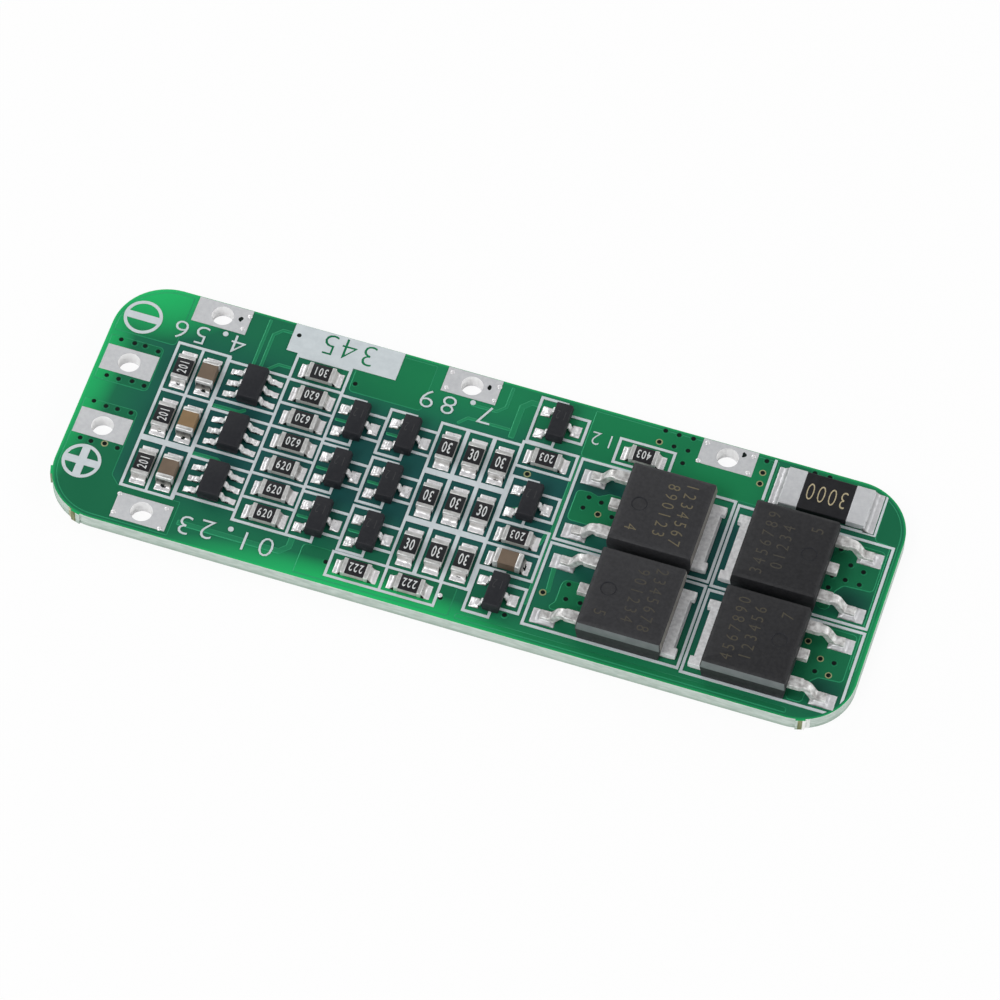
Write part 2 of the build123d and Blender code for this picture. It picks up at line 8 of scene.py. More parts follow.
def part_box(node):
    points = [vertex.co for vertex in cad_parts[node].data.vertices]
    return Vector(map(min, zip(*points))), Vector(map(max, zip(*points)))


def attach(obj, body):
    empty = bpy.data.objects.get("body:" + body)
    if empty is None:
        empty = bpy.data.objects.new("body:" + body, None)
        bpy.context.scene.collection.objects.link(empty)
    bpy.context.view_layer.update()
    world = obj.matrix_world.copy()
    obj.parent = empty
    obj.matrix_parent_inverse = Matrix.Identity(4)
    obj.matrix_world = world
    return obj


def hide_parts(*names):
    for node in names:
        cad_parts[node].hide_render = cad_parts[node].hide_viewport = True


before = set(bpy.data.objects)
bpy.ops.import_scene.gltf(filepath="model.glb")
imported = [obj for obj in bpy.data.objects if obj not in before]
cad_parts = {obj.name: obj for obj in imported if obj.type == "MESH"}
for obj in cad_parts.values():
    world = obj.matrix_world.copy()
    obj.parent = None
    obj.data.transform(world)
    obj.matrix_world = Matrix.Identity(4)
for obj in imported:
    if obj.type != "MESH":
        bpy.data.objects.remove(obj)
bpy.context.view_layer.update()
scene = bpy.context.scene
mm = 0.001            # shapes are drawn in millimetres and turned into metres at the end
boardTop = 1.2
random.seed(11)
print("frame loaded:", len(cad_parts), "nodes")


# materials: small helpers first, then the finishes

def mathNode(tree, operation, first, second=None, clamp=False):
    node = tree.nodes.new("ShaderNodeMath")
    node.operation = operation
    node.use_clamp = clamp
    for i, value in enumerate((first, second)):
        if value is None:
            continue
        if isinstance(value, (int, float)):
            node.inputs[i].default_value = value
        else:
            tree.links.new(value, node.inputs[i])
    return node.outputs[0]


def spots(tree, size, detail=3.0, stretch=(1, 1, 1)):
    # noise with spots of about that many millimetres
    coords = tree.nodes.new("ShaderNodeTexCoord")
    mapping = tree.nodes.new("ShaderNodeMapping")
    mapping.inputs["Scale"].default_value = stretch
    texture = tree.nodes.new("ShaderNodeTexNoise")
    texture.inputs["Scale"].default_value = 0.5 / (size * mm)
    texture.inputs["Detail"].default_value = detail
    tree.links.new(coords.outputs["Object"], mapping.inputs["Vector"])
    tree.links.new(mapping.outputs[0], texture.inputs["Vector"])
    return texture.outputs["Fac"]


def spread(tree, source, low, high, start, end):
    # turns source between low and high into start to end
    node = tree.nodes.new("ShaderNodeMapRange")
    node.inputs["From Min"].default_value = low
    node.inputs["From Max"].default_value = high
    node.inputs["To Min"].default_value = start
    node.inputs["To Max"].default_value = end
    tree.links.new(source, node.inputs["Value"])
    return node.outputs[0]


def blendColour(tree, factor, first, second):
    node = tree.nodes.new("ShaderNodeMix")
    node.data_type = "RGBA"
    tree.links.new(factor, node.inputs["Factor"])
    for socket, value in ((node.inputs["A"], first), (node.inputs["B"], second)):
        if isinstance(value, tuple):
            socket.default_value = (*value, 1)
        else:
            tree.links.new(value, socket)
    return node.outputs["Result"]


def addBump(tree, shader, height, depth):
    bump = tree.nodes.new("ShaderNodeBump")
    bump.inputs["Strength"].default_value = 1.0
    bump.inputs["Distance"].default_value = depth * mm
    tree.links.new(height, bump.inputs["Height"])
    tree.links.new(bump.outputs[0], shader.inputs["Normal"])


def startMaterial(name, metallic=0.0, specular=0.5):
    material = bpy.data.materials.new(name)
    material.use_nodes = True
    shader = material.node_tree.nodes["Principled BSDF"]
    shader.inputs["Metallic"].default_value = metallic
    shader.inputs["Specular IOR Level"].default_value = specular
    return material, material.node_tree, shader


def speckle(tree, size, detail=3.0, stretch=(1, 1, 1)):
    # the same noise with more contrast, from 0 to 1
    return spread(tree, spots(tree, size, detail, stretch), 0.35, 0.65, 0.0, 1.0)


def unevenGloss(tree, shader, size, low, high):
    gloss = spread(tree, spots(tree, size), 0.3, 0.7, low, high)
    tree.links.new(gloss, shader.inputs["Roughness"])


def normalUp(tree):
    # 1 where a face looks straight up, 0 where it is upright
    geometry = tree.nodes.new("ShaderNodeNewGeometry")
    parts = tree.nodes.new("ShaderNodeSeparateXYZ")
    tree.links.new(geometry.outputs["Normal"], parts.inputs[0])
    return parts.outputs["Z"]


slopes = {            # painted dark reflections on sloping and upright faces: upward part of the normal where that colour starts, and where it is full
    "steep": (0.92, 0.55),
    "paintedDarkReflection": (0.44, 0.30),
}


def surface(name, look):
    # a finish from its dictionary: two colours mixed by spots, painted dark reflections on steep
    # faces where it lists them, uneven gloss and a fine relief
    metallic, specular = look.get("metallic", 0.0), look.get("specular", 0.5)
    material, tree, shader = startMaterial(name, metallic, specular)
    colour = blendColour(tree, speckle(tree, look["spot"]), look["colour"], look["other"])
    for part, ends in slopes.items():
        if part in look:
            slope = spread(tree, normalUp(tree), *ends, 0.0, 1.0)
            colour = blendColour(tree, slope, colour, look[part])
    tree.links.new(colour, shader.inputs["Base Color"])
    unevenGloss(tree, shader, look["spot"] * 1.7, *look["rough"])
    addBump(tree, shader, spots(tree, look["grain"], 4.0), look["relief"])
    return material


maskLook = {
    "laminate": (0.013, 0.080, 0.076),
    "laminateOther": (0.0145, 0.091, 0.083),
    "laminateNearEdge": (0.0135, 0.165, 0.076),
    "copper": (0.012, 0.160, 0.077),
    "copperOther": (0.013, 0.184, 0.082),
    "copperEdge": (0.031, 0.31, 0.145),
    "trackLift": 0.50,    # how far a narrow track is from the pour colour towards the edge colour
    "shade": (0.009, 0.046, 0.044),
    # painted light: the bright green that glare and highlights are painted in
    "bright": (0.022, 0.58, 0.165),
    "rimHighlightWidth": 0.2,      # a painted highlight in bright green runs this far in from the outline
    "rimHighlightShare": 0.55,
    "grain": 0.35,
    "relief": 0.004,
    # bands: where each starts, where it is full, and how strong it is then
    "nearEdge": (7.0, 2.0, 0.9),          # distance from the rim; painted light makes the green lighter over it, towards the edge
    "topBand": (1.08, 1.17, 0.7),         # height on the wall
    "footBand": (0.40, 0.0, 0.75),
    "leftBand": (-28.2, -29.3, 0.9),      # place along the board
    "wall": (0.43, 0.52, 0.465),
    "wallOther": (0.56, 0.64, 0.59),
    "wallTop": (0.72, 0.80, 0.75),
    "wallFoot": (0.27, 0.37, 0.30),
    "wallLeft": (0.17, 0.42, 0.29),
    # the plated hole walls, painted near white, lighter than tin: painted light for the glare in
    # the holes
    "plating": (0.98, 0.98, 0.98),
    "platingDepth": 0.15,         # walls further in than this belong to the holes
    "sawn": (0.31, 0.34, 0.19),
    "sawnOther": (0.15, 0.17, 0.08),
    "chipped": (0.90, 0.90, 0.88),
    "length": 58.7,
    "width": 20.0,
    "corner": 4.0,
}
maskPatches = {       # soft ovals: x, y, half length, half width, strength; the light ones are painted glare and pools of light, the shade ones painted shadows by the power transistors and their leads
    "light": [(-28.0, 10.6, 7.5, 5.4, 1.0), (-29.8, 2.0, 2.6, 11.0, 0.85),
              (-6.0, -10.4, 15.0, 2.4, 1.0), (-4.0, 9.0, 11.0, 5.0, 0.18),
              (8.0, 9.5, 9.0, 5.0, 0.18), (26.0, 10.3, 6.0, 1.2, 0.3),
              (29.5, -3.0, 1.2, 9.0, 0.3), (7.6, -1.5, 2.6, 8.0, 0.10),
              (27.0, -1.0, 2.6, 7.0, 0.06), (12.0, -10.4, 17.0, 2.4, 0.22),
              (15.5, 7.0, 5.0, 4.0, 0.24)],
    "shade": [(7.6, 3.9, 2.0, 1.2, 0.8), (27.3, 0.2, 2.2, 1.7, 0.8), (27.3, -7.1, 2.0, 1.5, 0.7)],
    "sawn": [(26.47, -9.96, 0.17, 0.5, 4.0), (-26.70, -9.8, 0.27, 0.6, 4.0),
             (-29.31, -7.14, 0.5, 0.37, 4.0)],
    "chipped": [(26.78, -9.85, 0.17, 0.5, 4.0)],
}


def boardPlace(tree):
    coords = tree.nodes.new("ShaderNodeTexCoord")
    parts = tree.nodes.new("ShaderNodeSeparateXYZ")
    tree.links.new(coords.outputs["Object"], parts.inputs[0])
    return parts.outputs["X"], parts.outputs["Y"], parts.outputs["Z"]


def rimDistance(tree):
    # how far a point lies inside the rounded outline of the board, in metres
    corner = maskLook["corner"] * mm
    pasts = []
    for place, size in zip(boardPlace(tree)[:2], ("length", "width")):
        side = mathNode(tree, "ABSOLUTE", place)
        pasts.append(mathNode(tree, "SUBTRACT", side, maskLook[size] * mm / 2 - corner))
    squares = []
    for past in pasts:
        outside = mathNode(tree, "MAXIMUM", past, 0.0)
        squares.append(mathNode(tree, "MULTIPLY", outside, outside))
    bend = mathNode(tree, "SQRT", mathNode(tree, "ADD", squares[0], squares[1]))
    inner = mathNode(tree, "MINIMUM", mathNode(tree, "MAXIMUM", pasts[0], pasts[1]), 0.0)
    return mathNode(tree, "SUBTRACT", corner, mathNode(tree, "ADD", bend, inner))


def patches(tree, kind):
    # the soft ovals of that kind, the strongest where they overlap
    place = boardPlace(tree)
    total = None
    for *centres, halfX, halfY, strength in maskPatches[kind]:
        squares = []
        for axis, centre, half in zip(place, centres, (halfX, halfY)):
            across = mathNode(tree, "SUBTRACT", axis, centre * mm)
            across = mathNode(tree, "MULTIPLY", across, 1 / (half * mm))
            squares.append(mathNode(tree, "MULTIPLY", across, across))
        away = mathNode(tree, "ADD", *squares)
        fall = mathNode(tree, "SUBTRACT", 1.0, away, clamp=True)
        patch = mathNode(tree, "MULTIPLY", fall, strength, clamp=True)
        total = patch if total is None else mathNode(tree, "MAXIMUM", total, patch)
    return total


def band(tree, source, name):
    start, end, strength = maskLook[name]
    return spread(tree, source, start * mm, end * mm, 0.0, strength)


def greenMask(tree, first, second, share=1.0):
    green = blendColour(tree, speckle(tree, 3.0), maskLook[first], maskLook[second])
    # painted light: lighter green towards the edge of the board
    nearEdge = band(tree, rimDistance(tree), "nearEdge")
    green = blendColour(tree, nearEdge, green, maskLook["laminateNearEdge"])
    # painted light: the mask turns bright green inside the light ovals
    lit = mathNode(tree, "MULTIPLY", patches(tree, "light"), share)
    return blendColour(tree, lit, green, maskLook["bright"])


def boardWall(tree, rim):
    # the sawn wall: pale above, darker below, brown where tabs broke off, white in the holes
    x, y, z = boardPlace(tree)
    fibres = speckle(tree, 0.4, 4.0, (1, 1, 4))
    streaks = spread(tree, spots(tree, 0.16, 2.0, (1, 1, 0.15)), 0.4, 0.6, 0.0, 1.0)
    sawn = blendColour(tree, streaks, maskLook["sawn"], maskLook["sawnOther"])
    wall = blendColour(tree, fibres, maskLook["wall"], maskLook["wallOther"])
    inHole = mathNode(tree, "GREATER_THAN", rim, maskLook["platingDepth"] * mm)
    layers = [
        (band(tree, z, "topBand"), maskLook["wallTop"]),
        (band(tree, z, "footBand"), maskLook["wallFoot"]),
        (band(tree, x, "leftBand"), maskLook["wallLeft"]),
        (patches(tree, "sawn"), sawn),
        (patches(tree, "chipped"), maskLook["chipped"]),
        (inHole, maskLook["plating"]),
    ]
    for share, colour in layers:
        wall = blendColour(tree, share, wall, colour)
    return wall


def boardMaterial():
    material, tree, shader = startMaterial("greenMaskOnLaminate", specular=0.12)
    rim = rimDistance(tree)
    green = greenMask(tree, "laminate", "laminateOther", 0.8)
    green = blendColour(tree, patches(tree, "shade"), green, maskLook["shade"])
    # painted highlight: bright green along the rounded rim of the board
    rimHighlight = spread(tree, rim, maskLook["rimHighlightWidth"] * mm, 0.0, 0.0, maskLook["rimHighlightShare"])
    green = blendColour(tree, rimHighlight, green, maskLook["bright"])
    wall = boardWall(tree, rim)
    flat = mathNode(tree, "GREATER_THAN", mathNode(tree, "ABSOLUTE", normalUp(tree)), 0.5)
    tree.links.new(blendColour(tree, flat, wall, green), shader.inputs["Base Color"])
    tree.links.new(spread(tree, flat, 0.0, 1.0, 0.75, 0.3), shader.inputs["Roughness"])
    addBump(tree, shader, spots(tree, maskLook["grain"], 4.0), maskLook["relief"])
    return material


def copperMaterial(name, lift=0.0):
    # the mask is lighter where it runs down the edge of the copper
    material, tree, shader = startMaterial(name, metallic=0.25, specular=0.12)
    slope = spread(tree, normalUp(tree), 0.99, 0.93, lift, 1.0)
    green = greenMask(tree, "copper", "copperOther")
    green = blendColour(tree, slope, green, maskLook["copperEdge"])
    tree.links.new(green, shader.inputs["Base Color"])
    unevenGloss(tree, shader, 1.5, 0.32, 0.42)
    addBump(tree, shader, spots(tree, maskLook["grain"], 4.0), maskLook["relief"])
    return material


printed = dict(spot=0.1, rough=(0.5, 0.7), grain=0.06, relief=0.004)
moulded = dict(spot=0.12, rough=(0.5, 0.65), grain=0.07, relief=0.01, specular=0.35)
baked = dict(spot=0.5, rough=(0.4, 0.6), grain=0.06, relief=0.004)
finish = {
    "whiteInk": dict(colour=(0.575, 0.63, 0.655), other=(0.63, 0.685, 0.71), spot=0.25,
                     rough=(0.55, 0.7), grain=0.12, relief=0.005),
    # painted reflections: steep and upright faces of the solder and tin take dark colours
    "solder": dict(colour=(0.97, 0.96, 0.97), other=(0.84, 0.83, 0.85), spot=0.25,
                   rough=(0.22, 0.36), grain=0.25, relief=0.012, metallic=0.35,
                   steep=(0.30, 0.29, 0.27), paintedDarkReflection=(0.02, 0.02, 0.02)),
    "padTin": dict(colour=(0.78, 0.78, 0.80), other=(0.64, 0.64, 0.66), spot=0.25,
                   rough=(0.3, 0.45), grain=0.25, relief=0.01, metallic=0.3,
                   steep=(0.34, 0.34, 0.35), paintedDarkReflection=(0.10, 0.10, 0.10)),
    "tinnedLand": dict(colour=(0.65, 0.66, 0.675), other=(0.59, 0.60, 0.62), spot=0.14,
                       rough=(0.42, 0.55), grain=0.1, relief=0.008, metallic=0.25),
    "chipBand": dict(colour=(0.74, 0.74, 0.73), other=(0.60, 0.60, 0.59), spot=0.15,
                     rough=(0.3, 0.45), grain=0.1, relief=0.008, metallic=0.6),
    "chipCeramic": dict(colour=(0.46, 0.46, 0.44), other=(0.36, 0.36, 0.34), spot=0.2,
                        rough=(0.5, 0.7), grain=0.08, relief=0.006),
    "chipCoat": dict(colour=(0.010, 0.010, 0.012), other=(0.014, 0.014, 0.017), spot=0.25,
                     rough=(0.4, 0.55), grain=0.06, relief=0.004, specular=0.3),
    "tanCeramic": dict(baked, colour=(0.140, 0.100, 0.068), other=(0.165, 0.118, 0.080)),
    "amberCeramic": dict(baked, colour=(0.225, 0.145, 0.068), other=(0.26, 0.165, 0.078)),
    "blackMoulding": dict(moulded, colour=(0.009, 0.010, 0.014), other=(0.013, 0.014, 0.018),
                          grain=0.06, relief=0.006),
    "powerMoulding": dict(moulded, colour=(0.023, 0.023, 0.0255), other=(0.031, 0.031, 0.034)),
    # painted shade: a darker copy of powerMoulding
    "powerMouldingPaintedShade": dict(moulded, colour=(0.013, 0.013, 0.015), other=(0.020, 0.020, 0.022)),
    # painted light: lighter grey for the front walls of the front bodies
    "frontWallPaintedLight": dict(colour=(0.10, 0.118, 0.120), other=(0.13, 0.148, 0.150), spot=0.4,
                         rough=(0.3, 0.45), grain=0.2, relief=0.006),
    "tabSideWall": dict(colour=(0.145, 0.134, 0.122), other=(0.20, 0.186, 0.17), spot=0.3,
                        rough=(0.4, 0.55), grain=0.2, relief=0.006),
    "codePrint": dict(printed, colour=(0.74, 0.75, 0.75), other=(0.56, 0.58, 0.58)),
    "dullPrint": dict(printed, colour=(0.062, 0.053, 0.033), other=(0.048, 0.041, 0.028)),
    "markPrint": dict(printed, colour=(0.135, 0.112, 0.064), other=(0.105, 0.088, 0.052)),
    "faintPrint": dict(printed, colour=(0.052, 0.045, 0.032), other=(0.040, 0.036, 0.028)),
    "packageMark": dict(printed, colour=(0.030, 0.031, 0.033), other=(0.022, 0.023, 0.026)),
    "shuntPrint": dict(printed, colour=(0.50, 0.42, 0.26), other=(0.40, 0.34, 0.21)),
    "leadTin": dict(colour=(0.84, 0.84, 0.84), other=(0.68, 0.68, 0.68), spot=0.22,
                    rough=(0.32, 0.5), grain=0.12, relief=0.012, metallic=0.4),
    "formedLead": dict(colour=(0.88, 0.88, 0.87), other=(0.42, 0.41, 0.40), spot=0.22,
                       rough=(0.3, 0.5), grain=0.16, relief=0.03, metallic=0.35),
    "tabTin": dict(colour=(0.90, 0.90, 0.91), other=(0.70, 0.70, 0.71), spot=0.13,
                   rough=(0.5, 0.65), grain=0.12, relief=0.02),
    # painted shade and reflection: dark discs in holes and dents, and the dark middles of solder
    # pits
    "paintedShadeAndReflection": dict(printed, colour=(0.004, 0.008, 0.007), other=(0.006, 0.012, 0.011),
                     grain=0.1, specular=0.1),
    "viaTan": dict(printed, colour=(0.26, 0.30, 0.14), other=(0.36, 0.36, 0.18),
                   rough=(0.4, 0.6), grain=0.1),
    "sawnStub": dict(colour=(0.24, 0.24, 0.12), other=(0.55, 0.54, 0.38), spot=0.16,
                     rough=(0.7, 0.9), grain=0.1, relief=0.04),
    "glassChip": dict(colour=(0.86, 0.87, 0.85), other=(0.70, 0.74, 0.70), spot=0.2,
                      rough=(0.5, 0.7), grain=0.1, relief=0.03),
}
material = {name: surface(name, look) for name, look in finish.items()}
material["board"] = boardMaterial()
material["copper"] = copperMaterial("greenMaskOnCopper")
material["track"] = copperMaterial("greenMaskOnTracks", maskLook["trackLift"])
print("materials made:", len(material))


# shapes, drawn in millimetres

def at(x, y, z=0.0, turn=0.0):
    return Matrix.Translation((x, y, z)) @ Matrix.Rotation(math.radians(turn), 4, "Z")


def middle(node):
    low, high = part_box(node)
    return (low + high) / 2 / mm, (high - low) / mm


def underside(node, turn=0, drop=0.0):
    # the middle of a node's underside, or a little below it
    centre, size = middle(node)
    return at(centre.x, centre.y, centre.z - size.z / 2 - drop, turn)


def circle(radius, z=0.0, steps=20):
    turns = [2 * math.pi * i / steps for i in range(steps)]
    return [(radius * math.cos(turn), radius * math.sin(turn), z) for turn in turns]


def addRings(shape, rings, spot, look, ends=True):
    # a skin over a row of outlines, with its ends filled; without them the last meets the first
    rows = [[shape.verts.new(spot @ Vector(point)) for point in ring] for ring in rings]
    count = len(rows[0])
    made = []
    for lower, upper in zip(rows, rows[1:] + ([] if ends else rows[:1])):
        for i in range(count):
            j = (i + 1) % count
            made.append(shape.faces.new((lower[i], lower[j], upper[j], upper[i])))
    if ends:
        made.append(shape.faces.new(list(reversed(rows[0]))))
        made.append(shape.faces.new(rows[-1]))
    for face in made:
        face.material_index = look


def addPlate(shape, outline, low, high, spot, look):
    # a flat piece with that outline, between two heights
    addRings(shape, [[(x, y, z) for x, y, *rest in outline] for z in (low, high)], spot, look)


def addBlock(shape, low, high, spot, look):
    corners = [(low[0], low[1]), (high[0], low[1]), (high[0], high[1]), (low[0], high[1])]
    addPlate(shape, corners, low[2], high[2], spot, look)


def roundedOutline(halfX, halfY, radius, steps=3):
    points = []
    for sx, sy, start in ((1, 1, 0), (-1, 1, 90), (-1, -1, 180), (1, -1, 270)):
        for i in range(steps + 1):
            angle = math.radians(start + 90 * i / steps)
            points.append((sx * (halfX - radius) + radius * math.cos(angle),
                           sy * (halfY - radius) + radius * math.sin(angle)))
    return points


def addMoulding(shape, size, levels, spot, look):
    # levels: height, how far that level stands in, and its corner radius
    rings = []
    for z, inset, radius in levels:
        outline = roundedOutline(size[0] / 2 - inset, size[1] / 2 - inset, radius)
        rings.append([(x, y, z) for x, y in outline])
    addRings(shape, rings, spot, look)


def arc(start, end, centre, steps):
    # points from start to end, both given from the centre
    sweep = start.angle(end)
    for i in range(steps + 1):
        along, left = math.sin(i / steps * sweep), math.sin((1 - i / steps) * sweep)
        yield centre + (start * left + end * along) / math.sin(sweep)


def roundPath(points, radius):
    path = [Vector(points[0])]
    for before, corner, after in zip(points, points[1:], points[2:]):
        before, corner, after = Vector(before), Vector(corner), Vector(after)
        first = (before - corner).normalized()
        second = (after - corner).normalized()
        half = first.angle(second) / 2
        run = radius / math.tan(half)
        centre = corner + (first + second).normalized() * radius / math.sin(half)
        path += arc(corner + first * run - centre, corner + second * run - centre, centre, 5)
    path.append(Vector(points[-1]))
    return path


def addStrip(shape, path, widths, thickness, spot, look):
    # a flat strip bent along a path of (x, z) points; widths has one value or one per point
    rings = []
    for i, point in enumerate(path):
        ahead = path[min(i + 1, len(path) - 1)] - path[max(i - 1, 0)]
        across = Vector((-ahead.y, ahead.x)).normalized() * thickness / 2
        half = (widths[i] if isinstance(widths, list) else widths) / 2
        upper, lower = point + across, point - across
        rings.append([(upper.x, -half, upper.y), (upper.x, half, upper.y),
                      (lower.x, half, lower.y), (lower.x, -half, lower.y)])
    addRings(shape, rings, spot, look)


solderSkin = {
    "stepX": 0.06,       # size of its small faces
    "stepY": 0.07,
    "edge": 0.1,         # the skin rounds off over this much
    "waves": 3.1,        # how close the lumps lie
    "sink": 0.01,        # how far its border goes under
    "pitDepth": 0.5,     # share of the height that a pit takes away
    "pitReflectionShare": 0.8,      # share of a pit that takes a painted dark reflection
    "base": 0.06,        # height of the plain skin
}


def addSolder(shape, spot, look, pad, foot, climb, reach, lump, steepness=1.7, wander=0.05,
              paintedDarkReflection=None):
    # an uneven fillet over the pad that climbs towards the foot, both given as from, to and half
    # width; the last argument is a small oval pit in it, given as its middle, half length, half
    # width and look, and the pit's middle takes a painted dark reflection
    skin = solderSkin
    seed = random.uniform(0, 90)
    lowX, highX, half = pad
    stepsX = max(8, int((highX - lowX) / skin["stepX"]))
    stepsY = max(8, int(2 * half / skin["stepY"]))
    middleX = (lowX + highX) / 2
    rows, dark = [], set()
    for i in range(stepsX + 1):
        row = []
        for j in range(stepsY + 1):
            x = lowX + (highX - lowX) * i / stepsX
            y = half * (2 * j / stepsY - 1)
            away = math.hypot(max(foot[0] - x, 0, x - foot[1]), max(0, abs(y) - foot[2]))
            rise = max(0.0, 1 - away / reach) ** steepness * climb
            border = min(x - lowX, highX - x, half - abs(y))
            edge = min(1.0, border / skin["edge"])
            where = Vector((x * skin["waves"] + seed, y * skin["waves"], seed * 1.7))
            height = skin["base"] + rise + lump * noise.noise(where)
            height *= math.sqrt(max(0.0, 1 - (1 - edge) ** 2))
            if paintedDarkReflection:
                pit = math.hypot((x - paintedDarkReflection[0]) / paintedDarkReflection[2], (y - paintedDarkReflection[1]) / paintedDarkReflection[3])
                pit += 0.5 * noise.noise(where)
                height -= skin["pitDepth"] * height * max(0.0, 1 - pit)
                # painted reflection: the middle of the pit takes the dark look
                if pit < skin["pitReflectionShare"]:
                    dark.add((i, j))
            if border < 1e-6:
                shift = abs(noise.noise(where * 1.9)) * wander
                x -= math.copysign(shift, x - middleX) if abs(x - middleX) > 0.1 else 0
                y -= math.copysign(shift, y) if abs(y) > 0.1 else 0
                height = -skin["sink"]
            row.append(shape.verts.new(spot @ Vector((x, y, max(height, -skin["sink"])))))
        rows.append(row)
    for i in range(stepsX):
        for j in range(stepsY):
            corners = (rows[i][j], rows[i + 1][j], rows[i + 1][j + 1], rows[i][j + 1])
            shape.faces.new(corners).material_index = paintedDarkReflection[4] if (i, j) in dark else look
    border = rows[0][:-1] + [row[-1] for row in rows[:-1]]
    border += rows[-1][:0:-1] + [row[0] for row in rows[:0:-1]]
    under = [shape.verts.new(vert.co + Vector((0, 0, -skin["sink"]))) for vert in border]
    for i, vert in enumerate(border):
        shape.faces.new((under[i - 1], under[i], vert, border[i - 1])).material_index = look
    shape.faces.new(under).material_index = look


glyphs = {}
digitShare = 0.72     # height of a digit in its letter size


def glyphMesh(sign, stroke):
    # one digit as a solid, one unit high and centred; stroke makes its line thicker or thinner
    if (sign, stroke) not in glyphs:
        curve = bpy.data.curves.new("digit", "FONT")
        curve.body = sign
        curve.size = 1 / digitShare
        curve.extrude = 0.5
        curve.offset = stroke
        curve.resolution_u = 3
        holder = bpy.data.objects.new("digit", curve)
        scene.collection.objects.link(holder)
        bpy.context.view_layer.update()
        ready = holder.evaluated_get(bpy.context.evaluated_depsgraph_get())
        mesh = bpy.data.meshes.new_from_object(ready)
        bpy.data.objects.remove(holder)
        xs = [vert.co.x for vert in mesh.vertices]
        ys = [vert.co.y for vert in mesh.vertices]
        centre = ((min(xs) + max(xs)) / 2, (min(ys) + max(ys)) / 2, 0)
        mesh.transform(Matrix.Translation([-value for value in centre]))
        glyphs[sign, stroke] = mesh
    return glyphs[sign, stroke]


def addDigit(shape, sign, height, narrow, spot, look, thick=0.006, stroke=0.014):
    # lies on the XY plane of the spot, half sunk in it
    firstFace, firstVert = len(shape.faces), len(shape.verts)
    shape.from_mesh(glyphMesh(sign, stroke))
    shape.verts.ensure_lookup_table()
    shape.faces.ensure_lookup_table()
    size = spot @ Matrix.Diagonal((height * narrow, height, thick, 1))
    bmesh.ops.transform(shape, matrix=size, verts=shape.verts[firstVert:])
    for face in shape.faces[firstFace:]:
        face.material_index = look


def addNumber(shape, digits, height, pitch, narrow, spot, look, thick=0.006, stroke=0.014):
    for i, sign in enumerate(digits):
        place = spot @ at((i - (len(digits) - 1) / 2) * pitch, 0)
        addDigit(shape, sign, height, narrow, place, look, thick, stroke)


def makePiece(name, shape, looks, replaced=(), soften=0.0, sharp=38):
    bmesh.ops.recalc_face_normals(shape, faces=shape.faces[:])
    mesh = bpy.data.meshes.new(name)
    shape.to_mesh(mesh)
    shape.free()
    mesh.transform(Matrix.Scale(mm, 4))
    for look in looks:
        mesh.materials.append(material[look])
    for polygon in mesh.polygons:
        polygon.use_smooth = True
    mesh.set_sharp_from_angle(angle=math.radians(sharp))
    piece = bpy.data.objects.new(name, mesh)
    scene.collection.objects.link(piece)
    if soften:
        edges = piece.modifiers.new("softEdges", "BEVEL")
        edges.width = soften * mm
        edges.segments = 2
        edges.limit_method = "ANGLE"
        edges.angle_limit = math.radians(40)
    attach(piece, "root")
    if replaced:
        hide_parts(*replaced)


def coat(node, look):
    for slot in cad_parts[node].material_slots:
        slot.material = material[look]


def named(*prefixes):
    # nodes by the start of their names, prefix by prefix
    names = sorted(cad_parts)
    return [name for prefix in prefixes for name in names if name.startswith(prefix)]


# board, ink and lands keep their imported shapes

coat("circuit_board", "board")
coat("printed_frames", "whiteInk")
terminals = named("terminal_", "tap_terminal_")
for node in terminals:
    coat(node, "tinnedLand")
print("board dressed")


# copper under the mask, with rounded corners

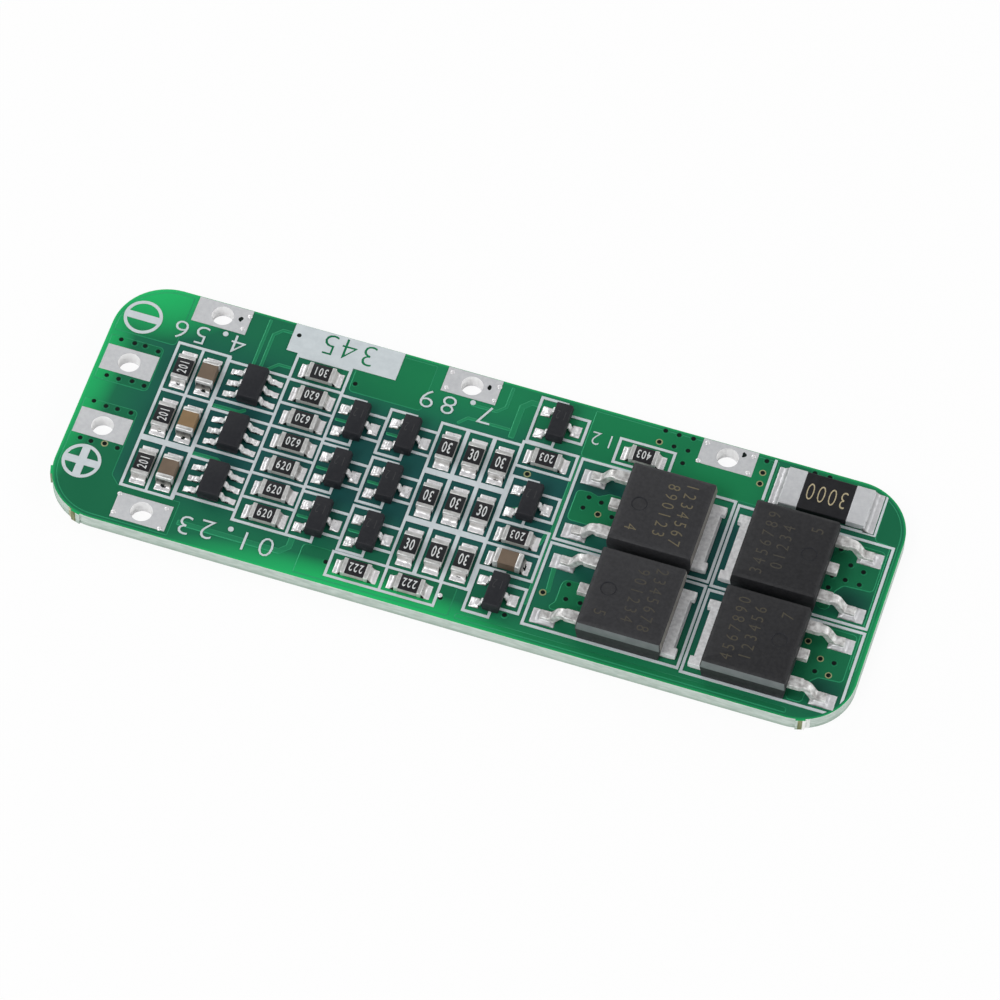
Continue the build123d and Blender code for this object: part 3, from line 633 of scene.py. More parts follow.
copperSheet = {
    "bottom": boardTop - 0.01,
    "shoulder": boardTop + 0.004,     # where the edge starts to slope
    "top": boardTop + 0.026,
    "step": 0.0003,       # each area lies this much above the last, so none share a face
    "rounding": 0.35,
    "trackRounding": 0.1,
    "edge": 0.06,         # the mask runs down over this much at the edge
    "holeRadius": 0.9,
    "rimRadius": 3.7,
}
rightRim = [(25.35 + copperSheet["rimRadius"] * math.cos(math.radians(turn)),
             6.0 + copperSheet["rimRadius"] * math.sin(math.radians(turn)), 0.01)
            for turn in range(0, 57, 8)]
pours = [             # x, y of each corner, and its own rounding where that isn't the usual one
    [(-29.05, 1.08, 0.1), (-25.05, 1.08), (-25.05, 4.97), (-29.05, 4.97, 0.1)],
    [(-29.05, -9.7, 3.7), (-19.75, -9.7, 0.1), (-19.75, -6.8, 0.1), (-24.4, -6.8, 0.1),
     (-25.05, -6.15), (-25.05, -0.62), (-29.05, -0.62, 0.1)],
    [(-29.05, 5.4, 0.1), (-24.4, 5.4), (-24.4, 9.7, 0.1), (-29.05, 9.7, 3.7)],
    [(-10.51, -9.7, 0.1), (0.86, -9.7, 0.1), (0.86, -7.2), (-10.51, -7.2)],
    [(-11.61, 5.7), (-6.13, 5.7), (-6.13, 9.7, 0.1), (-11.61, 9.7, 0.1)],
    [(1.31, -9.7, 0.1), (25.3, -9.7, 0.1), (25.3, -9.25), (1.31, -9.25)],
    [(5.66, 5.7), (19.2, 5.7), (19.2, 9.7, 0.1), (17.3, 9.7, 0.02), (17.3, 9.78, 0.02),
     (13.7, 9.78, 0.02), (13.7, 9.7, 0.02), (5.66, 9.7, 0.1)],
    [(6.30, 0.45), (9.6, 0.45), (9.6, 3.4), (8.6, 3.38), (7.9, 2.95, 0.2), (7.3, 3.13),
     (6.32, 3.05)],
    [(7.1, -6.9), (9.6, -6.9), (9.6, -4.25), (7.58, -4.25, 0.5), (7.58, -6.2)],
    [(24.9, -0.9), (25.8, -0.9), (25.85, 0.75), (26.3, 1.35), (28.4, 1.45), (28.4, 4.9),
     (24.9, 4.9)],
    [(24.9, -8.6), (26.15, -8.6), (26.2, -6.75), (26.7, -6.3), (28.4, -6.2), (28.4, -2.2),
     (24.9, -2.2)],
    [(28.5, -5.0, 0.1), (29.05, -5.0, 0.1), *rightRim, (27.3, 9.1, 0.05), (27.3, 5.5), (28.5, 5.5)],
]
narrow, wide = 0.25, 0.45
tracks = [
    (narrow, [(-18.67, 5.6), (-18.67, 9.7)]),
    (narrow, [(-18.11, 5.6), (-18.11, 8.55), (-17.56, 9.1), (-16.5, 9.1)]),
    (narrow, [(-17.6, 5.6), (-16.95, 6.25), (-15.87, 6.25)]),
    (wide, [(-19.45, -8.42), (-11.93, -8.42), (-11.38, -7.87), (-11.38, -7.0)]),
    (wide, [(0.57, 5.6), (0.57, 8.35), (1.12, 8.9), (1.9, 8.9)]),
    (narrow, [(-3.4, 5.6), (-2.8, 6.25), (0.35, 6.25)]),
    (narrow, [(-2.95, 7.4), (-1.04, 7.4), (-0.49, 7.95), (-0.49, 9.7)]),
    (narrow, [(5.67, -7.1), (5.67, 5.8)]),
    (0.3, [(-20.3, 1.55), (-18.3, 1.58), (-17.9, 1.9)]),
    (0.3, [(-20.4, -2.68), (-18.5, -2.66), (-18.1, -2.95)]),
    (0.35, [(6.72, -3.6), (6.86, -5.5), (6.57, -5.78)]),
    (narrow, [(2.3, -0.1), (3.2, 0.45)]),
    (narrow, [(5.4, -0.9), (5.15, -2.2)]),
]
for x in (-11.2, -7.4):
    for y in (-5.2, -1.0, 3.2):
        tracks.append((narrow, [(x - 0.5, y), (x + 0.5, y)]))


def roundedPolygon(points, usual):
    outline = []
    count = len(points)
    for i, point in enumerate(points):
        corner = Vector(point[:2])
        radius = point[2] if len(point) > 2 else usual
        before = Vector(points[i - 1][:2]) - corner
        after = Vector(points[(i + 1) % count][:2]) - corner
        half = before.angle(after) / 2
        most = (0.9 if radius > 1 else 0.48) * min(before.length, after.length)
        run = min(radius / math.tan(half), most) if half < 1.5 else 0
        radius = run * math.tan(half)
        if radius < 0.02:
            outline.append(corner)
            continue
        before.normalize()
        after.normalize()
        centre = corner + (before + after).normalized() * radius / math.sin(half)
        start, end = corner + before * run - centre, corner + after * run - centre
        outline += arc(start, end, centre, 20 if radius > 2 else 5)
    return outline


def trackOutline(width, points):
    # a line of copper with square corners, to be rounded with the rest
    left, right = [], []
    line = [Vector(point) for point in points]
    runs = [(end - start).normalized() for start, end in zip(line, line[1:])]
    for i, point in enumerate(line):
        behind, ahead = runs[max(i - 1, 0)], runs[min(i, len(runs) - 1)]
        tangent = (ahead + behind).normalized()
        side = Vector((-tangent.y, tangent.x)) * width / 2 / tangent.dot(ahead)
        left.append(tuple(point + side))
        right.append(tuple(point - side))
    return right + left[::-1]


def shrink(outline, distance):
    # the outline moved in by that much
    count = len(outline)
    moved = []
    for i, point in enumerate(outline):
        behind = (point - outline[i - 1]).normalized()
        ahead = (outline[(i + 1) % count] - point).normalized()
        inward = Vector((-behind.y - ahead.y, behind.x + ahead.x)).normalized()
        moved.append(point + inward * distance / max(0.5, inward.dot(Vector((-ahead.y, ahead.x)))))
    return moved


def addSheet(shape, outline, holes, heights, edge, look):
    # a thin plate with round holes, its top drawn in by the edge
    if sum(a.x * b.y - b.x * a.y for a, b in zip(outline, outline[1:] + outline[:1])) < 0:
        outline = outline[::-1]
    loops = [[shrink(outline, inset) for inset in (0.0, 0.0, edge)]]
    for x, y, radius in holes:
        loops.append([[Vector((x + px, y + py)) for px, py, z in circle(radius, steps=40)]] * 3)
    borders = ([], [])
    for loop in loops:
        rows = []
        for level, z in zip(loop, heights):
            rows.append([shape.verts.new((point.x, point.y, z)) for point in level])
        count = len(rows[0])
        for lower, upper in zip(rows, rows[1:]):
            for i in range(count):
                j = (i + 1) % count
                corners = (lower[i], lower[j], upper[j], upper[i])
                shape.faces.new(corners).material_index = look
        for border, row in zip(borders, (rows[0], rows[-1])):
            border += [shape.edges.get((row[i], row[(i + 1) % count])) for i in range(count)]
    for edges in borders:
        filled = bmesh.ops.triangle_fill(shape, edges=edges, use_beauty=True)
        for face in filled["geom"]:
            if isinstance(face, bmesh.types.BMFace):
                face.material_index = look


shape = bmesh.new()
terminalHoles = [(*middle(node)[0].xy, copperSheet["holeRadius"]) for node in terminals]
outlines = [roundedPolygon(points, copperSheet["rounding"]) for points in pours]
for width, points in tracks:
    outlines.append(roundedPolygon(trackOutline(width, points), copperSheet["trackRounding"]))
for i, outline in enumerate(outlines):
    xs, ys = [point.x for point in outline], [point.y for point in outline]
    inside = [hole for hole in terminalHoles
              if min(xs) < hole[0] < max(xs) and min(ys) < hole[1] < max(ys)]
    top = copperSheet["top"] + i * copperSheet["step"]
    heights = (copperSheet["bottom"], copperSheet["shoulder"], top)
    addSheet(shape, outline, inside, heights, copperSheet["edge"], 0 if i < len(pours) else 1)
looks = ["copper", "track"]
makePiece("copperUnderMask", shape, looks, ["top_copper"], sharp=12)
print("copper made:", len(outlines), "areas")


# chip resistors and capacitors

chip = {
    "length": 2.0,
    "width": 1.25,
    "height": 0.5,
    "band": 0.31,
    "coreEnd": 0.04,      # the ceramic core ends this much inside the bands
    "coreSide": 0.012,
    "coreLow": 0.03,
    "coreTop": 0.05,      # below the tops of the bands
    "coatInset": 0.02,
    "coatOver": 0.025,    # the coat runs this far over each band
    "coatLevels": [(0.2, 0), (0.05, 0), (0.03, 0.006), (0.017, 0.018), (0.012, 0.032)],
    "coatCorner": 0.06,
    "codeSize": (0.70, 0.37, 0.62),       # height, pitch and narrowing of the digits
    "tallSize": (0.92, 0.37, 0.5),        # the bleed resistors have two tall digits across
}
codes = {             # digits, which way up, and the ones of that row that lie the other way
    "filter_resistor_": ("201", 0, ()),
    "divider_resistor_": ("620", 0, (3, 4, 5)),
    "input_resistor": ("301", 180, ()),
    "bleed_resistor_": ("30", 90, (0, 5, 7)),
    "pull_resistor_": ("222", 180, ()),
    "timing_resistor_": ("203", 180, ()),
    "start_resistor": ("403", 180, ()),
}


def along(node):
    # chips with their ends on a line across the board are turned
    centre, size = middle(node)
    return 90 if size.y > size.x else 0


def makeChipResistor(node, code, turn):
    shape = bmesh.new()
    spot = underside(node, along(node))
    half, side, high = chip["length"] / 2, chip["width"] / 2, chip["height"]
    bandStart = half - chip["band"]
    coreX, coreY, coreTop = half - chip["coreEnd"], side - chip["coreSide"], high - chip["coreTop"]
    addBlock(shape, (-coreX, -coreY, chip["coreLow"]), (coreX, coreY, coreTop), spot, 0)
    coatLength = 2 * (bandStart + chip["coatOver"])
    levels = [(high - below, chip["coatInset"] + inset, chip["coatCorner"])
              for below, inset in chip["coatLevels"]]
    addMoulding(shape, (coatLength, chip["width"]), levels, spot, 1)
    for end in (0, 180):
        addBlock(shape, (bandStart, -side, 0), (half, side, high), spot @ at(0, 0, 0, end), 2)
    looks = ["chipCeramic", "chipCoat", "chipBand"]
    makePiece("chip_" + node, shape, looks, [node], 0.05)
    shape = bmesh.new()
    size = chip["tallSize" if node.startswith("bleed") else "codeSize"]
    place = spot @ at(0, 0, high - chip["coatLevels"][-1][0], turn)
    addNumber(shape, code, *size, place, 0)
    makePiece("code_" + node, shape, ["codePrint"])


for prefix, (code, turn, turned) in codes.items():
    for i, node in enumerate(named(prefix)):
        makeChipResistor(node, code, turn + (180 if i in turned else 0))

capacitor = {
    "height": 0.8,
    "inset": 0.03,
    "band": 0.40,
    "coreEnd": 0.1,
    "lowLevels": [(0, 0.04, 0.08), (0.06, 0, 0.08)],       # height, inset, corner
    "topLevels": [(0.09, 0, 0.09), (0.03, 0.03, 0.09), (0, 0.1, 0.06)],       # from the top
}
for i, node in enumerate(named("filter_capacitor_", "timing_capacitor")):
    shape = bmesh.new()
    spot = underside(node, along(node))
    inset, high = capacitor["inset"], capacitor["height"]
    end, side = chip["length"] / 2 - capacitor["coreEnd"], chip["width"] / 2 - inset
    addBlock(shape, (-end, -side, inset), (end, side, high - inset), spot, 0)
    levels = capacitor["lowLevels"] + [(high - z, *rest) for z, *rest in capacitor["topLevels"]]
    for way in (1, -1):
        place = spot @ at(way * (chip["length"] - capacitor["band"]) / 2, 0)
        addMoulding(shape, (capacitor["band"], chip["width"]), levels, place, 1)
    looks = ["amberCeramic" if i == 1 else "tanCeramic", "chipBand"]
    makePiece("chip_" + node, shape, looks, [node], 0.03)
print("chips made")


# small moulded packages

smallPackage = {
    "width": 1.3,
    "monitorWidth": 1.6,
    "length": 2.9,
    "lift": 0.07,
    "parting": 0.55,
    "height": 1.05,
    "draft": 0.14,       # run for each millimetre of height
    "corner": 0.06,
    # each as how far below the top, how far further in than the sloping wall, and its corner
    "topLevels": [(0.05, -0.007, 0.07), (0.015, 0.015, 0.08), (0, 0.06, 0.07)],
    "leadWidth": 0.42,
    "leadThickness": 0.13,
    "leadBend": 0.1,
    "leadOut": 0.09,     # a lead runs level this far out of the body
    "reach": 0.55,
    "monitorReach": 0.6,
    "foot": 0.35,
    "pitch": 1.9,
    "monitorPitch": 0.95,
    "mark": "12",
    "markPlace": (0.02, 0.35),
    "markSize": (0.75, 0.5, 0.6),       # height, pitch and narrowing
    "markThick": 0.004,
    "markStroke": -0.012,
}
transistors = named("signal_", "drive_", "switch_")
monitors = named("cell_monitor_")


def smallEnds(node):
    # how far the leads reach from the middle, and each lead's place and side
    p = smallPackage
    if node in monitors:
        ends = [(y, turn) for y in (-p["monitorPitch"], 0, p["monitorPitch"]) for turn in (0, 180)]
        return p["monitorWidth"] / 2 + p["monitorReach"], ends
    return p["width"] / 2 + p["reach"], [(0, 0), (-p["pitch"] / 2, 180), (p["pitch"] / 2, 180)]


def addPackage(shape, width, spot):
    p = smallPackage
    low = (p["parting"] - p["lift"]) * p["draft"]
    top = (p["height"] - p["parting"]) * p["draft"]
    levels = [(p["lift"], low, p["corner"]), (p["parting"], 0, p["corner"])]
    for below, inset, corner in p["topLevels"]:
        levels.append((p["height"] - below, top + inset, corner))
    addMoulding(shape, (width, p["length"]), levels, spot, 0)


def addSmallLead(shape, width, tip, spot):
    p = smallPackage
    half = p["leadThickness"] / 2
    exitZ = p["parting"] - half
    points = [(width / 4, exitZ), (width / 2 + p["leadOut"], exitZ),
              (tip - p["foot"], half), (tip, half)]
    path = roundPath(points, p["leadBend"])
    addStrip(shape, path, p["leadWidth"], p["leadThickness"], spot, 1)


for node in transistors + monitors:
    shape = bmesh.new()
    spot = underside(node)
    width = smallPackage["monitorWidth" if node in monitors else "width"]
    addPackage(shape, width, spot)
    tip, ends = smallEnds(node)
    for y, turn in ends:
        addSmallLead(shape, width, tip, spot @ at(0, y, 0, turn))
    looks = ["blackMoulding", "leadTin"]
    makePiece("package_" + node, shape, looks, [node], 0.025)
    if node in transistors:
        shape = bmesh.new()
        p = smallPackage
        place = spot @ at(*p["markPlace"], p["height"], 180)
        addNumber(shape, p["mark"], *p["markSize"], place, 0, p["markThick"], p["markStroke"])
        makePiece("mark_" + node, shape, ["packageMark"])
print("small packages made")


# power transistors

power = {
    "length": 6.2,
    "width": 6.6,
    "lift": 0.05,
    "parting": 1.45,
    "height": 2.3,
    "draft": 0.105,
    "corner": 0.12,
    "seam": 0.02,         # half the height of the mould line
    "seamDepth": 0.004,
    "topBevel": 0.08,
    "sideBevel": 0.25,
    "softness": 0.03,     # where the bevel meets the walls and the top
    "tabWidth": 5.45,
    "tabEnd": 4.05,
    "ear": 0.68,
    "recess": 0.3,
    "slug": 4.6,
    "thickness": 0.5,
    "reach": 2.72,
    "shoulder": 1.3,
    "wideEnd": 0.9,
    "foot": 0.84,
    "wide": 0.82,
    "narrow": 0.66,
    "pitch": 4.66,
    "stub": 0.72,
    "dimpleX": -1.67,
    "dimple": 0.58,
    "dimpleDepth": 0.05,
    "dimpleRim": 0.045,
    "leadBend": 0.42,
    "tuck": 0.8,          # lead inside the body
    "neck": 0.11,         # length over which a lead narrows
    "markSize": (0.92, 0.79, 0.8),
    "markRoom": 0.008,    # the top stands this much low, and the print fills it
    "markSink": 0.001,
    "markThick": 0.005,
    "markStroke": -0.006,
    "markPlaces": [(1.51, 0.05), (0.26, 0.05), (-1.7, -2.0)],
}
powerMarks = {        # which way it lies, its print, two rows of digits and a single digit
    "power_transistor_1": (0, "markPrint", "1234567", "890123", "4"),
    "power_transistor_2": (0, "faintPrint", "2345678", "901234", "5"),
    "power_transistor_3": (180, "faintPrint", "3456789", "01234", "5"),
    "power_transistor_4": (180, "dullPrint", "4567890", "123456", "7"),
}


def cutDimple(shape, spot, look):
    # a shallow round recess in the top face; its sloping wall and the ring below it take the darker
    # look, as painted shade in the recess
    top = max(shape.faces, key=lambda face: face.calc_center_median().z)
    border = list(top.edges)
    z = border[0].verts[0].co.z
    bmesh.ops.delete(shape, geom=[top], context="FACES_ONLY")
    steps = 40
    rows = []
    for inset, depth in ((0, 0), (1, power["dimpleDepth"]), (2, power["dimpleDepth"])):
        ring = []
        for x, y, level in circle(power["dimple"] - inset * power["dimpleRim"], steps=steps):
            point = spot @ Vector((power["dimpleX"] + x, y, 0))
            ring.append(shape.verts.new((point.x, point.y, z - depth)))
        rows.append(ring)
    rim = [shape.edges.new((rows[0][i], rows[0][(i + 1) % steps])) for i in range(steps)]
    bmesh.ops.triangle_fill(shape, edges=border + rim, use_beauty=True)
    for ring, inner in zip(rows, rows[1:]):
        for i in range(steps):
            j = (i + 1) % steps
            shape.faces.new((ring[i], ring[j], inner[j], inner[i])).material_index = look
    shape.faces.new(rows[-1]).material_index = 0


def makePowerBody(node):
    p = power
    turn, ink, *rows = powerMarks[node]
    shape = bmesh.new()
    spot = underside(node, turn, p["lift"])
    parting, bevel, soft, corner = p["parting"], p["topBevel"], p["softness"], p["corner"]
    low = (parting - p["lift"]) * p["draft"]
    top = (p["height"] - bevel - parting) * p["draft"]
    side = top + p["sideBevel"]
    high = p["height"] - p["markRoom"]
    levels = [(p["lift"], low, corner), (parting - p["seam"], p["seamDepth"], corner),
              (parting + p["seam"], p["seamDepth"], corner),
              (high - bevel - soft, top, corner + 0.02), (high - bevel, top + soft, corner + 0.04),
              (high - 0.012, side - soft, corner + 0.06), (high, side, corner + 0.06)]
    addMoulding(shape, (p["length"], p["width"]), levels, spot, 0)
    shape.faces.ensure_lookup_table()
    bmesh.ops.recalc_face_normals(shape, faces=shape.faces[:])
    tabSide = -1 if turn else 1
    for face in shape.faces:
        middleZ = face.calc_center_median().z - boardTop
        if parting < middleZ < high - 0.04 and abs(face.normal.z) < 0.6:
            # painted light: the front wall of the front bodies, above the mould line, is lighter
            # grey where it faces the light
            if face.normal.y < -0.9 and middle(node)[0].y < 0:
                face.material_index = 1
            elif face.normal.x * tabSide > 0.9:
                face.material_index = 2
    # painted shade: the dimple's wall takes the darker black moulding
    cutDimple(shape, spot, 3)
    # painted shade: the two bodies that are turned round take the darker copy of the moulding
    looks = ["powerMouldingPaintedShade" if turn else "powerMoulding", "frontWallPaintedLight", "tabSideWall",
             "blackMoulding"]
    makePiece("moulding_" + node, shape, looks, [node], sharp=25)
    shape = bmesh.new()
    for place, digits in zip(p["markPlaces"], rows):
        lettering = spot @ at(*place, high - p["markSink"], -90)
        addNumber(shape, digits, *p["markSize"], lettering, 0, p["markThick"], p["markStroke"])
    makePiece("marks_" + node, shape, [ink])


def makePowerLeads(node):
    p = power
    shape = bmesh.new()
    spot = underside(node, powerMarks[node][0], p["lift"])
    end, half = p["length"] / 2, p["thickness"] / 2
    start, stop, notch = end - p["slug"], p["tabEnd"], p["tabEnd"] - p["recess"]
    outer, inner = p["tabWidth"] / 2, p["tabWidth"] / 2 - p["ear"]
    outline = [(start, -outer), (stop, -outer), (stop, -inner), (notch, -inner),
               (notch, inner), (stop, inner), (stop, outer), (start, outer)]
    addPlate(shape, outline, 0.0, p["thickness"], spot, 1)
    exitZ = p["parting"] - half
    tip = -end - p["reach"]
    tucked, wideEnd = p["tuck"] - end, -end - p["wideEnd"]
    points = [(tucked, exitZ), (-end - p["shoulder"], exitZ), (tip + p["foot"], half), (tip, half)]
    path = [Vector((x, exitZ)) for x in (tucked, wideEnd, wideEnd - p["neck"])]
    path += roundPath(points, p["leadBend"])[1:]
    widths = [p["wide"], p["wide"]] + [p["narrow"]] * (len(path) - 2)
    for sign in (-1, 1):
        place = spot @ at(0, sign * p["pitch"] / 2)
        addStrip(shape, path, widths, p["thickness"], place, 0)
    side = p["wide"] / 2
    addBlock(shape, (-end - p["stub"], -side, exitZ - half), (tucked, side, exitZ + half), spot, 0)
    looks = ["formedLead", "tabTin"]
    makePiece("leads_" + node, shape, looks, [node + "_leadframe"], 0.05)


for node in powerMarks:
    makePowerBody(node)
    makePowerLeads(node)
print("power transistors made")


# current shunt

shunt = {
    "length": 6.3,
    "width": 3.1,
    "height": 0.58,
    "band": 1.35,
    "coreRoom": 0.02,     # the black core stands this much inside the bands
    "coreLow": 0.012,     # and this much below the full height
    "bandLow": 0.004,
    "code": "3000",
    "codeSize": (1.5, 0.8, 0.62),       # height, pitch and narrowing
    "codeLow": 0.011,
    "codeStroke": -0.022,
}
shape = bmesh.new()
spot = underside("shunt_resistor")
half, side, high = shunt["length"] / 2, shunt["width"] / 2, shunt["height"]
room, bandStart = shunt["coreRoom"], half - shunt["band"]
addBlock(shape, (-bandStart - room, room - side, room),
         (bandStart + room, side - room, high - shunt["coreLow"]), spot, 0)
for end in (0, 180):
    place = spot @ at(0, 0, 0, end)
    addBlock(shape, (bandStart, -side, 0), (half, side, high - shunt["bandLow"]), place, 1)
makePiece("shuntBody", shape, ["chipCoat", "tinnedLand"], ["shunt_resistor"], 0.06)
shape = bmesh.new()
place = spot @ at(0, 0, high - shunt["codeLow"], 180)
addNumber(shape, shunt["code"], *shunt["codeSize"], place, 0, stroke=shunt["codeStroke"])
makePiece("shuntCode", shape, ["shuntPrint"])
print("shunt made")


# solder

reflectionPits = {       # joints whose pit takes a painted dark reflection: middle across, half length, half width
    "filter_capacitor_1": (0.0, 0.12, 0.26),
    "filter_capacitor_2": (0.0, 0.14, 0.28),
    "filter_capacitor_3": (0.05, 0.12, 0.24),
    "timing_capacitor": (0.0, 0.10, 0.34),
    "filter_resistor_2": (0.1, 0.07, 0.2),
    "filter_resistor_3": (0.0, 0.07, 0.15),
    "bleed_resistor_3": (0.0, 0.05, 0.2),
    "bleed_resistor_9": (0.05, 0.05, 0.22),
}
leadJoint = dict(pad=(-0.35, 0.42, 0.43), foot=(-0.35, -0.02, 0.21), climb=0.13, reach=0.3,
                 lump=0.055)
chipJoint = dict(pad=(-0.06, 0.625, 0.61), foot=(-0.2, 0.0, 0.55), climb=0.34, reach=0.34,
                 lump=0.035, steepness=1.6, wander=0.035)
solder = {       # pad and foot: from, to and half width, seen from the end of the part
    "chip": chipJoint,
    "capacitor": dict(chipJoint, climb=0.55, steepness=2.6),
    "lead": leadJoint,
    "wideLead": dict(leadJoint, pad=(-0.35, 0.42, 0.5)),
    "monitorLead": dict(leadJoint, pad=(-0.35, 0.55, 0.26), lump=0.045),
    "powerLead": dict(pad=(-1.15, 0.69, 0.625), foot=(-0.8, -0.02, 0.33), climb=0.24, reach=0.34,
                      lump=0.04),
    "shunt": dict(pad=(-0.1, 0.75, 1.7), foot=(-0.3, 0.0, 1.55), climb=0.38, reach=0.42, lump=0.03),
}
pitPlace = 0.2   # from the chip's end
tabPad = {
    "height": 0.04,
    "room": 0.2,     # the tab runs this far past it
}


def over(node, turn=0):
    # the board's top in the middle of a part
    centre, size = middle(node)
    return at(centre.x, centre.y, boardTop, turn)


shape = bmesh.new()
for node in named(*codes, "filter_capacitor_", "timing_capacitor"):
    kind = "capacitor" if "capacitor" in node else "chip"
    centre, size = middle(node)
    for end in (0, 180):
        joint = over(node, along(node) + end) @ at(chip["length"] / 2, 0)
        away = joint @ Vector((1, 0, 0)) - centre
        pit = None
        if node in reflectionPits and (away.y < -1.5 or away.x > 1.5):       # the front or right end
            pit = (pitPlace, *reflectionPits[node], 2)
        addSolder(shape, joint, 0, paintedDarkReflection=pit, **solder[kind])
for node in transistors + monitors:
    tip, ends = smallEnds(node)
    for y, turn in ends:
        kind = "monitorLead" if node in monitors else "lead" if turn else "wideLead"
        joint = over(node) @ at(0, y, 0, turn) @ at(tip, 0)
        addSolder(shape, joint, 0, **solder[kind])
for node in powerMarks:
    spot = over(node, powerMarks[node][0])
    end, side = power["length"] / 2, power["tabWidth"] / 2
    for sign in (-1, 1):
        joint = spot @ at(-end - power["reach"], sign * power["pitch"] / 2, 0, 180)
        addSolder(shape, joint, 1, **solder["powerLead"])
    addBlock(shape, (end - power["slug"], -side, 0),
             (power["tabEnd"] - tabPad["room"], side, tabPad["height"]), spot, 1)
for turn in (0, 180):
    joint = over("shunt_resistor", turn) @ at(shunt["length"] / 2, 0)
    addSolder(shape, joint, 1, **solder["shunt"])
looks = ["solder", "padTin", "paintedShadeAndReflection"]
makePiece("solderJoints", shape, looks, ["solder_joints"], 0.0, 60)
print("solder made")


# signs and plain numbers on the board

inkTop, inkFoot = boardTop + 0.06, boardTop + 0.03
signs = {
    "minus": (-27.40, 6.97),
    "plus": (-27.48, -5.80),
    "radius": 1.4,
    "ring": 0.24,
    "bar": 0.58,
    "sink": 0.05,
    "overlap": 0.05,     # the bars run this far into the ring
    "hair": 0.002,       # and stand this much over it
}
bigPrint = {
    "thick": 0.04,
    "stroke": -0.022,
    "point": 0.2,        # radius of a decimal point
}
numbers = [          # height, narrowing, then each digit with its place
    (1.62, 1.1, [("0", -12.86, -8.42), ("1", -14.47, -8.42), (".", -15.67, -7.80),
                 ("2", -17.25, -8.36), ("3", -18.83, -8.50)]),
    (1.62, 1.1, [("4", -20.23, 6.88), (".", -21.36, 7.49), ("5", -22.95, 6.84),
                 ("6", -24.5, 6.84)]),
    (1.62, 1.1, [("7", -1.70, 6.85), (".", -2.85, 7.56), ("8", -4.43, 6.8), ("9", -6.02, 6.85)]),
    (1.15, 1.0, [("1", 7.35, 7.48), ("2", 6.30, 7.48)]),
]
heavyLines = {       # from, to and the place across
    "wide": 0.46,
    "narrow": 0.3,
    "levels": [(-4.38, 1.52, 1.16), (-4.38, 1.52, -3.04), (-24.2, -20.43, -2.54)],
    "uprights": [(-7.24, 5.26, -2.405), (-7.24, 5.26, -0.43), (-6.74, 5.76, -20.43)],
}
printedBlock = {
    "field": (-16.83, 7.59, -8.66, 9.95),
    "join": (-15.97, 7.48, -11.81, 7.6),       # meets the frame
    "digits": [("3", -11.09, 8.92), ("4", -12.58, 8.98), ("5", -14.0, 8.98)],
    "digitHeight": 1.85,
    "hole": (-16.35, 9.03),
    "holeRadius": 0.17,
}


def addBar(shape, x0, y0, x1, y1, lift=0.0):
    # the lift keeps print that crosses other print off its plane
    addBlock(shape, (x0, y0, inkFoot), (x1, y1, inkTop + lift), at(0, 0), 0)


def addSign(shape, kind):
    spot = at(*signs[kind], inkTop)
    outer, inner, sink = signs["radius"], signs["radius"] - signs["ring"], signs["sink"]
    profile = [(inner, -sink), (outer, -sink), (outer, 0.0), (inner, 0.0)]
    addRings(shape, [circle(radius, z, 64) for radius, z in profile], spot, 0, False)
    reach, bar, hair = inner + signs["overlap"], signs["bar"] / 2, signs["hair"]
    addBlock(shape, (-reach, -bar, -sink), (reach, bar, hair), spot, 0)
    if kind == "plus":
        for first, last in ((-reach, -bar), (bar, reach)):
            addBlock(shape, (-bar, first, -sink), (bar, last, hair), spot, 0)


shape = bmesh.new()
for kind in ("minus", "plus"):
    addSign(shape, kind)
thick, stroke = bigPrint["thick"], bigPrint["stroke"]
for height, narrow, digits in numbers:
    for sign, x, y in digits:
        if sign == ".":
            addPlate(shape, circle(bigPrint["point"], steps=24), -thick, 0.0, at(x, y, inkTop), 0)
        else:
            place = at(x, y, inkTop - thick / 2, 180)
            addDigit(shape, sign, height, narrow, place, 0, thick, stroke)
half = heavyLines["wide"] / 2
for x0, x1, y in heavyLines["levels"]:
    addBar(shape, x0, y - half, x1, y + half, 0.001)
half = heavyLines["narrow"] / 2
for y0, y1, x in heavyLines["uprights"]:
    addBar(shape, x - half, y0, x + half, y1, 0.002)
makePiece("printedNumbers", shape, ["whiteInk"])

shape = bmesh.new()
addBar(shape, *printedBlock["field"])
addBar(shape, *printedBlock["join"], 0.001)
for sign, x, y in printedBlock["digits"]:
    place = at(x, y, inkTop, 180)
    addDigit(shape, sign, printedBlock["digitHeight"], 1.0, place, 1, 0.004, stroke)
hole = circle(printedBlock["holeRadius"], steps=18)
# painted shade: a dark disc where the block has a hole
addPlate(shape, hole, -0.02, 0.002, at(*printedBlock["hole"], inkTop), 2)
makePiece("printedBlock", shape, ["whiteInk", "copper", "paintedShadeAndReflection"])
print("print made")


# vias, and marks on the bare lands

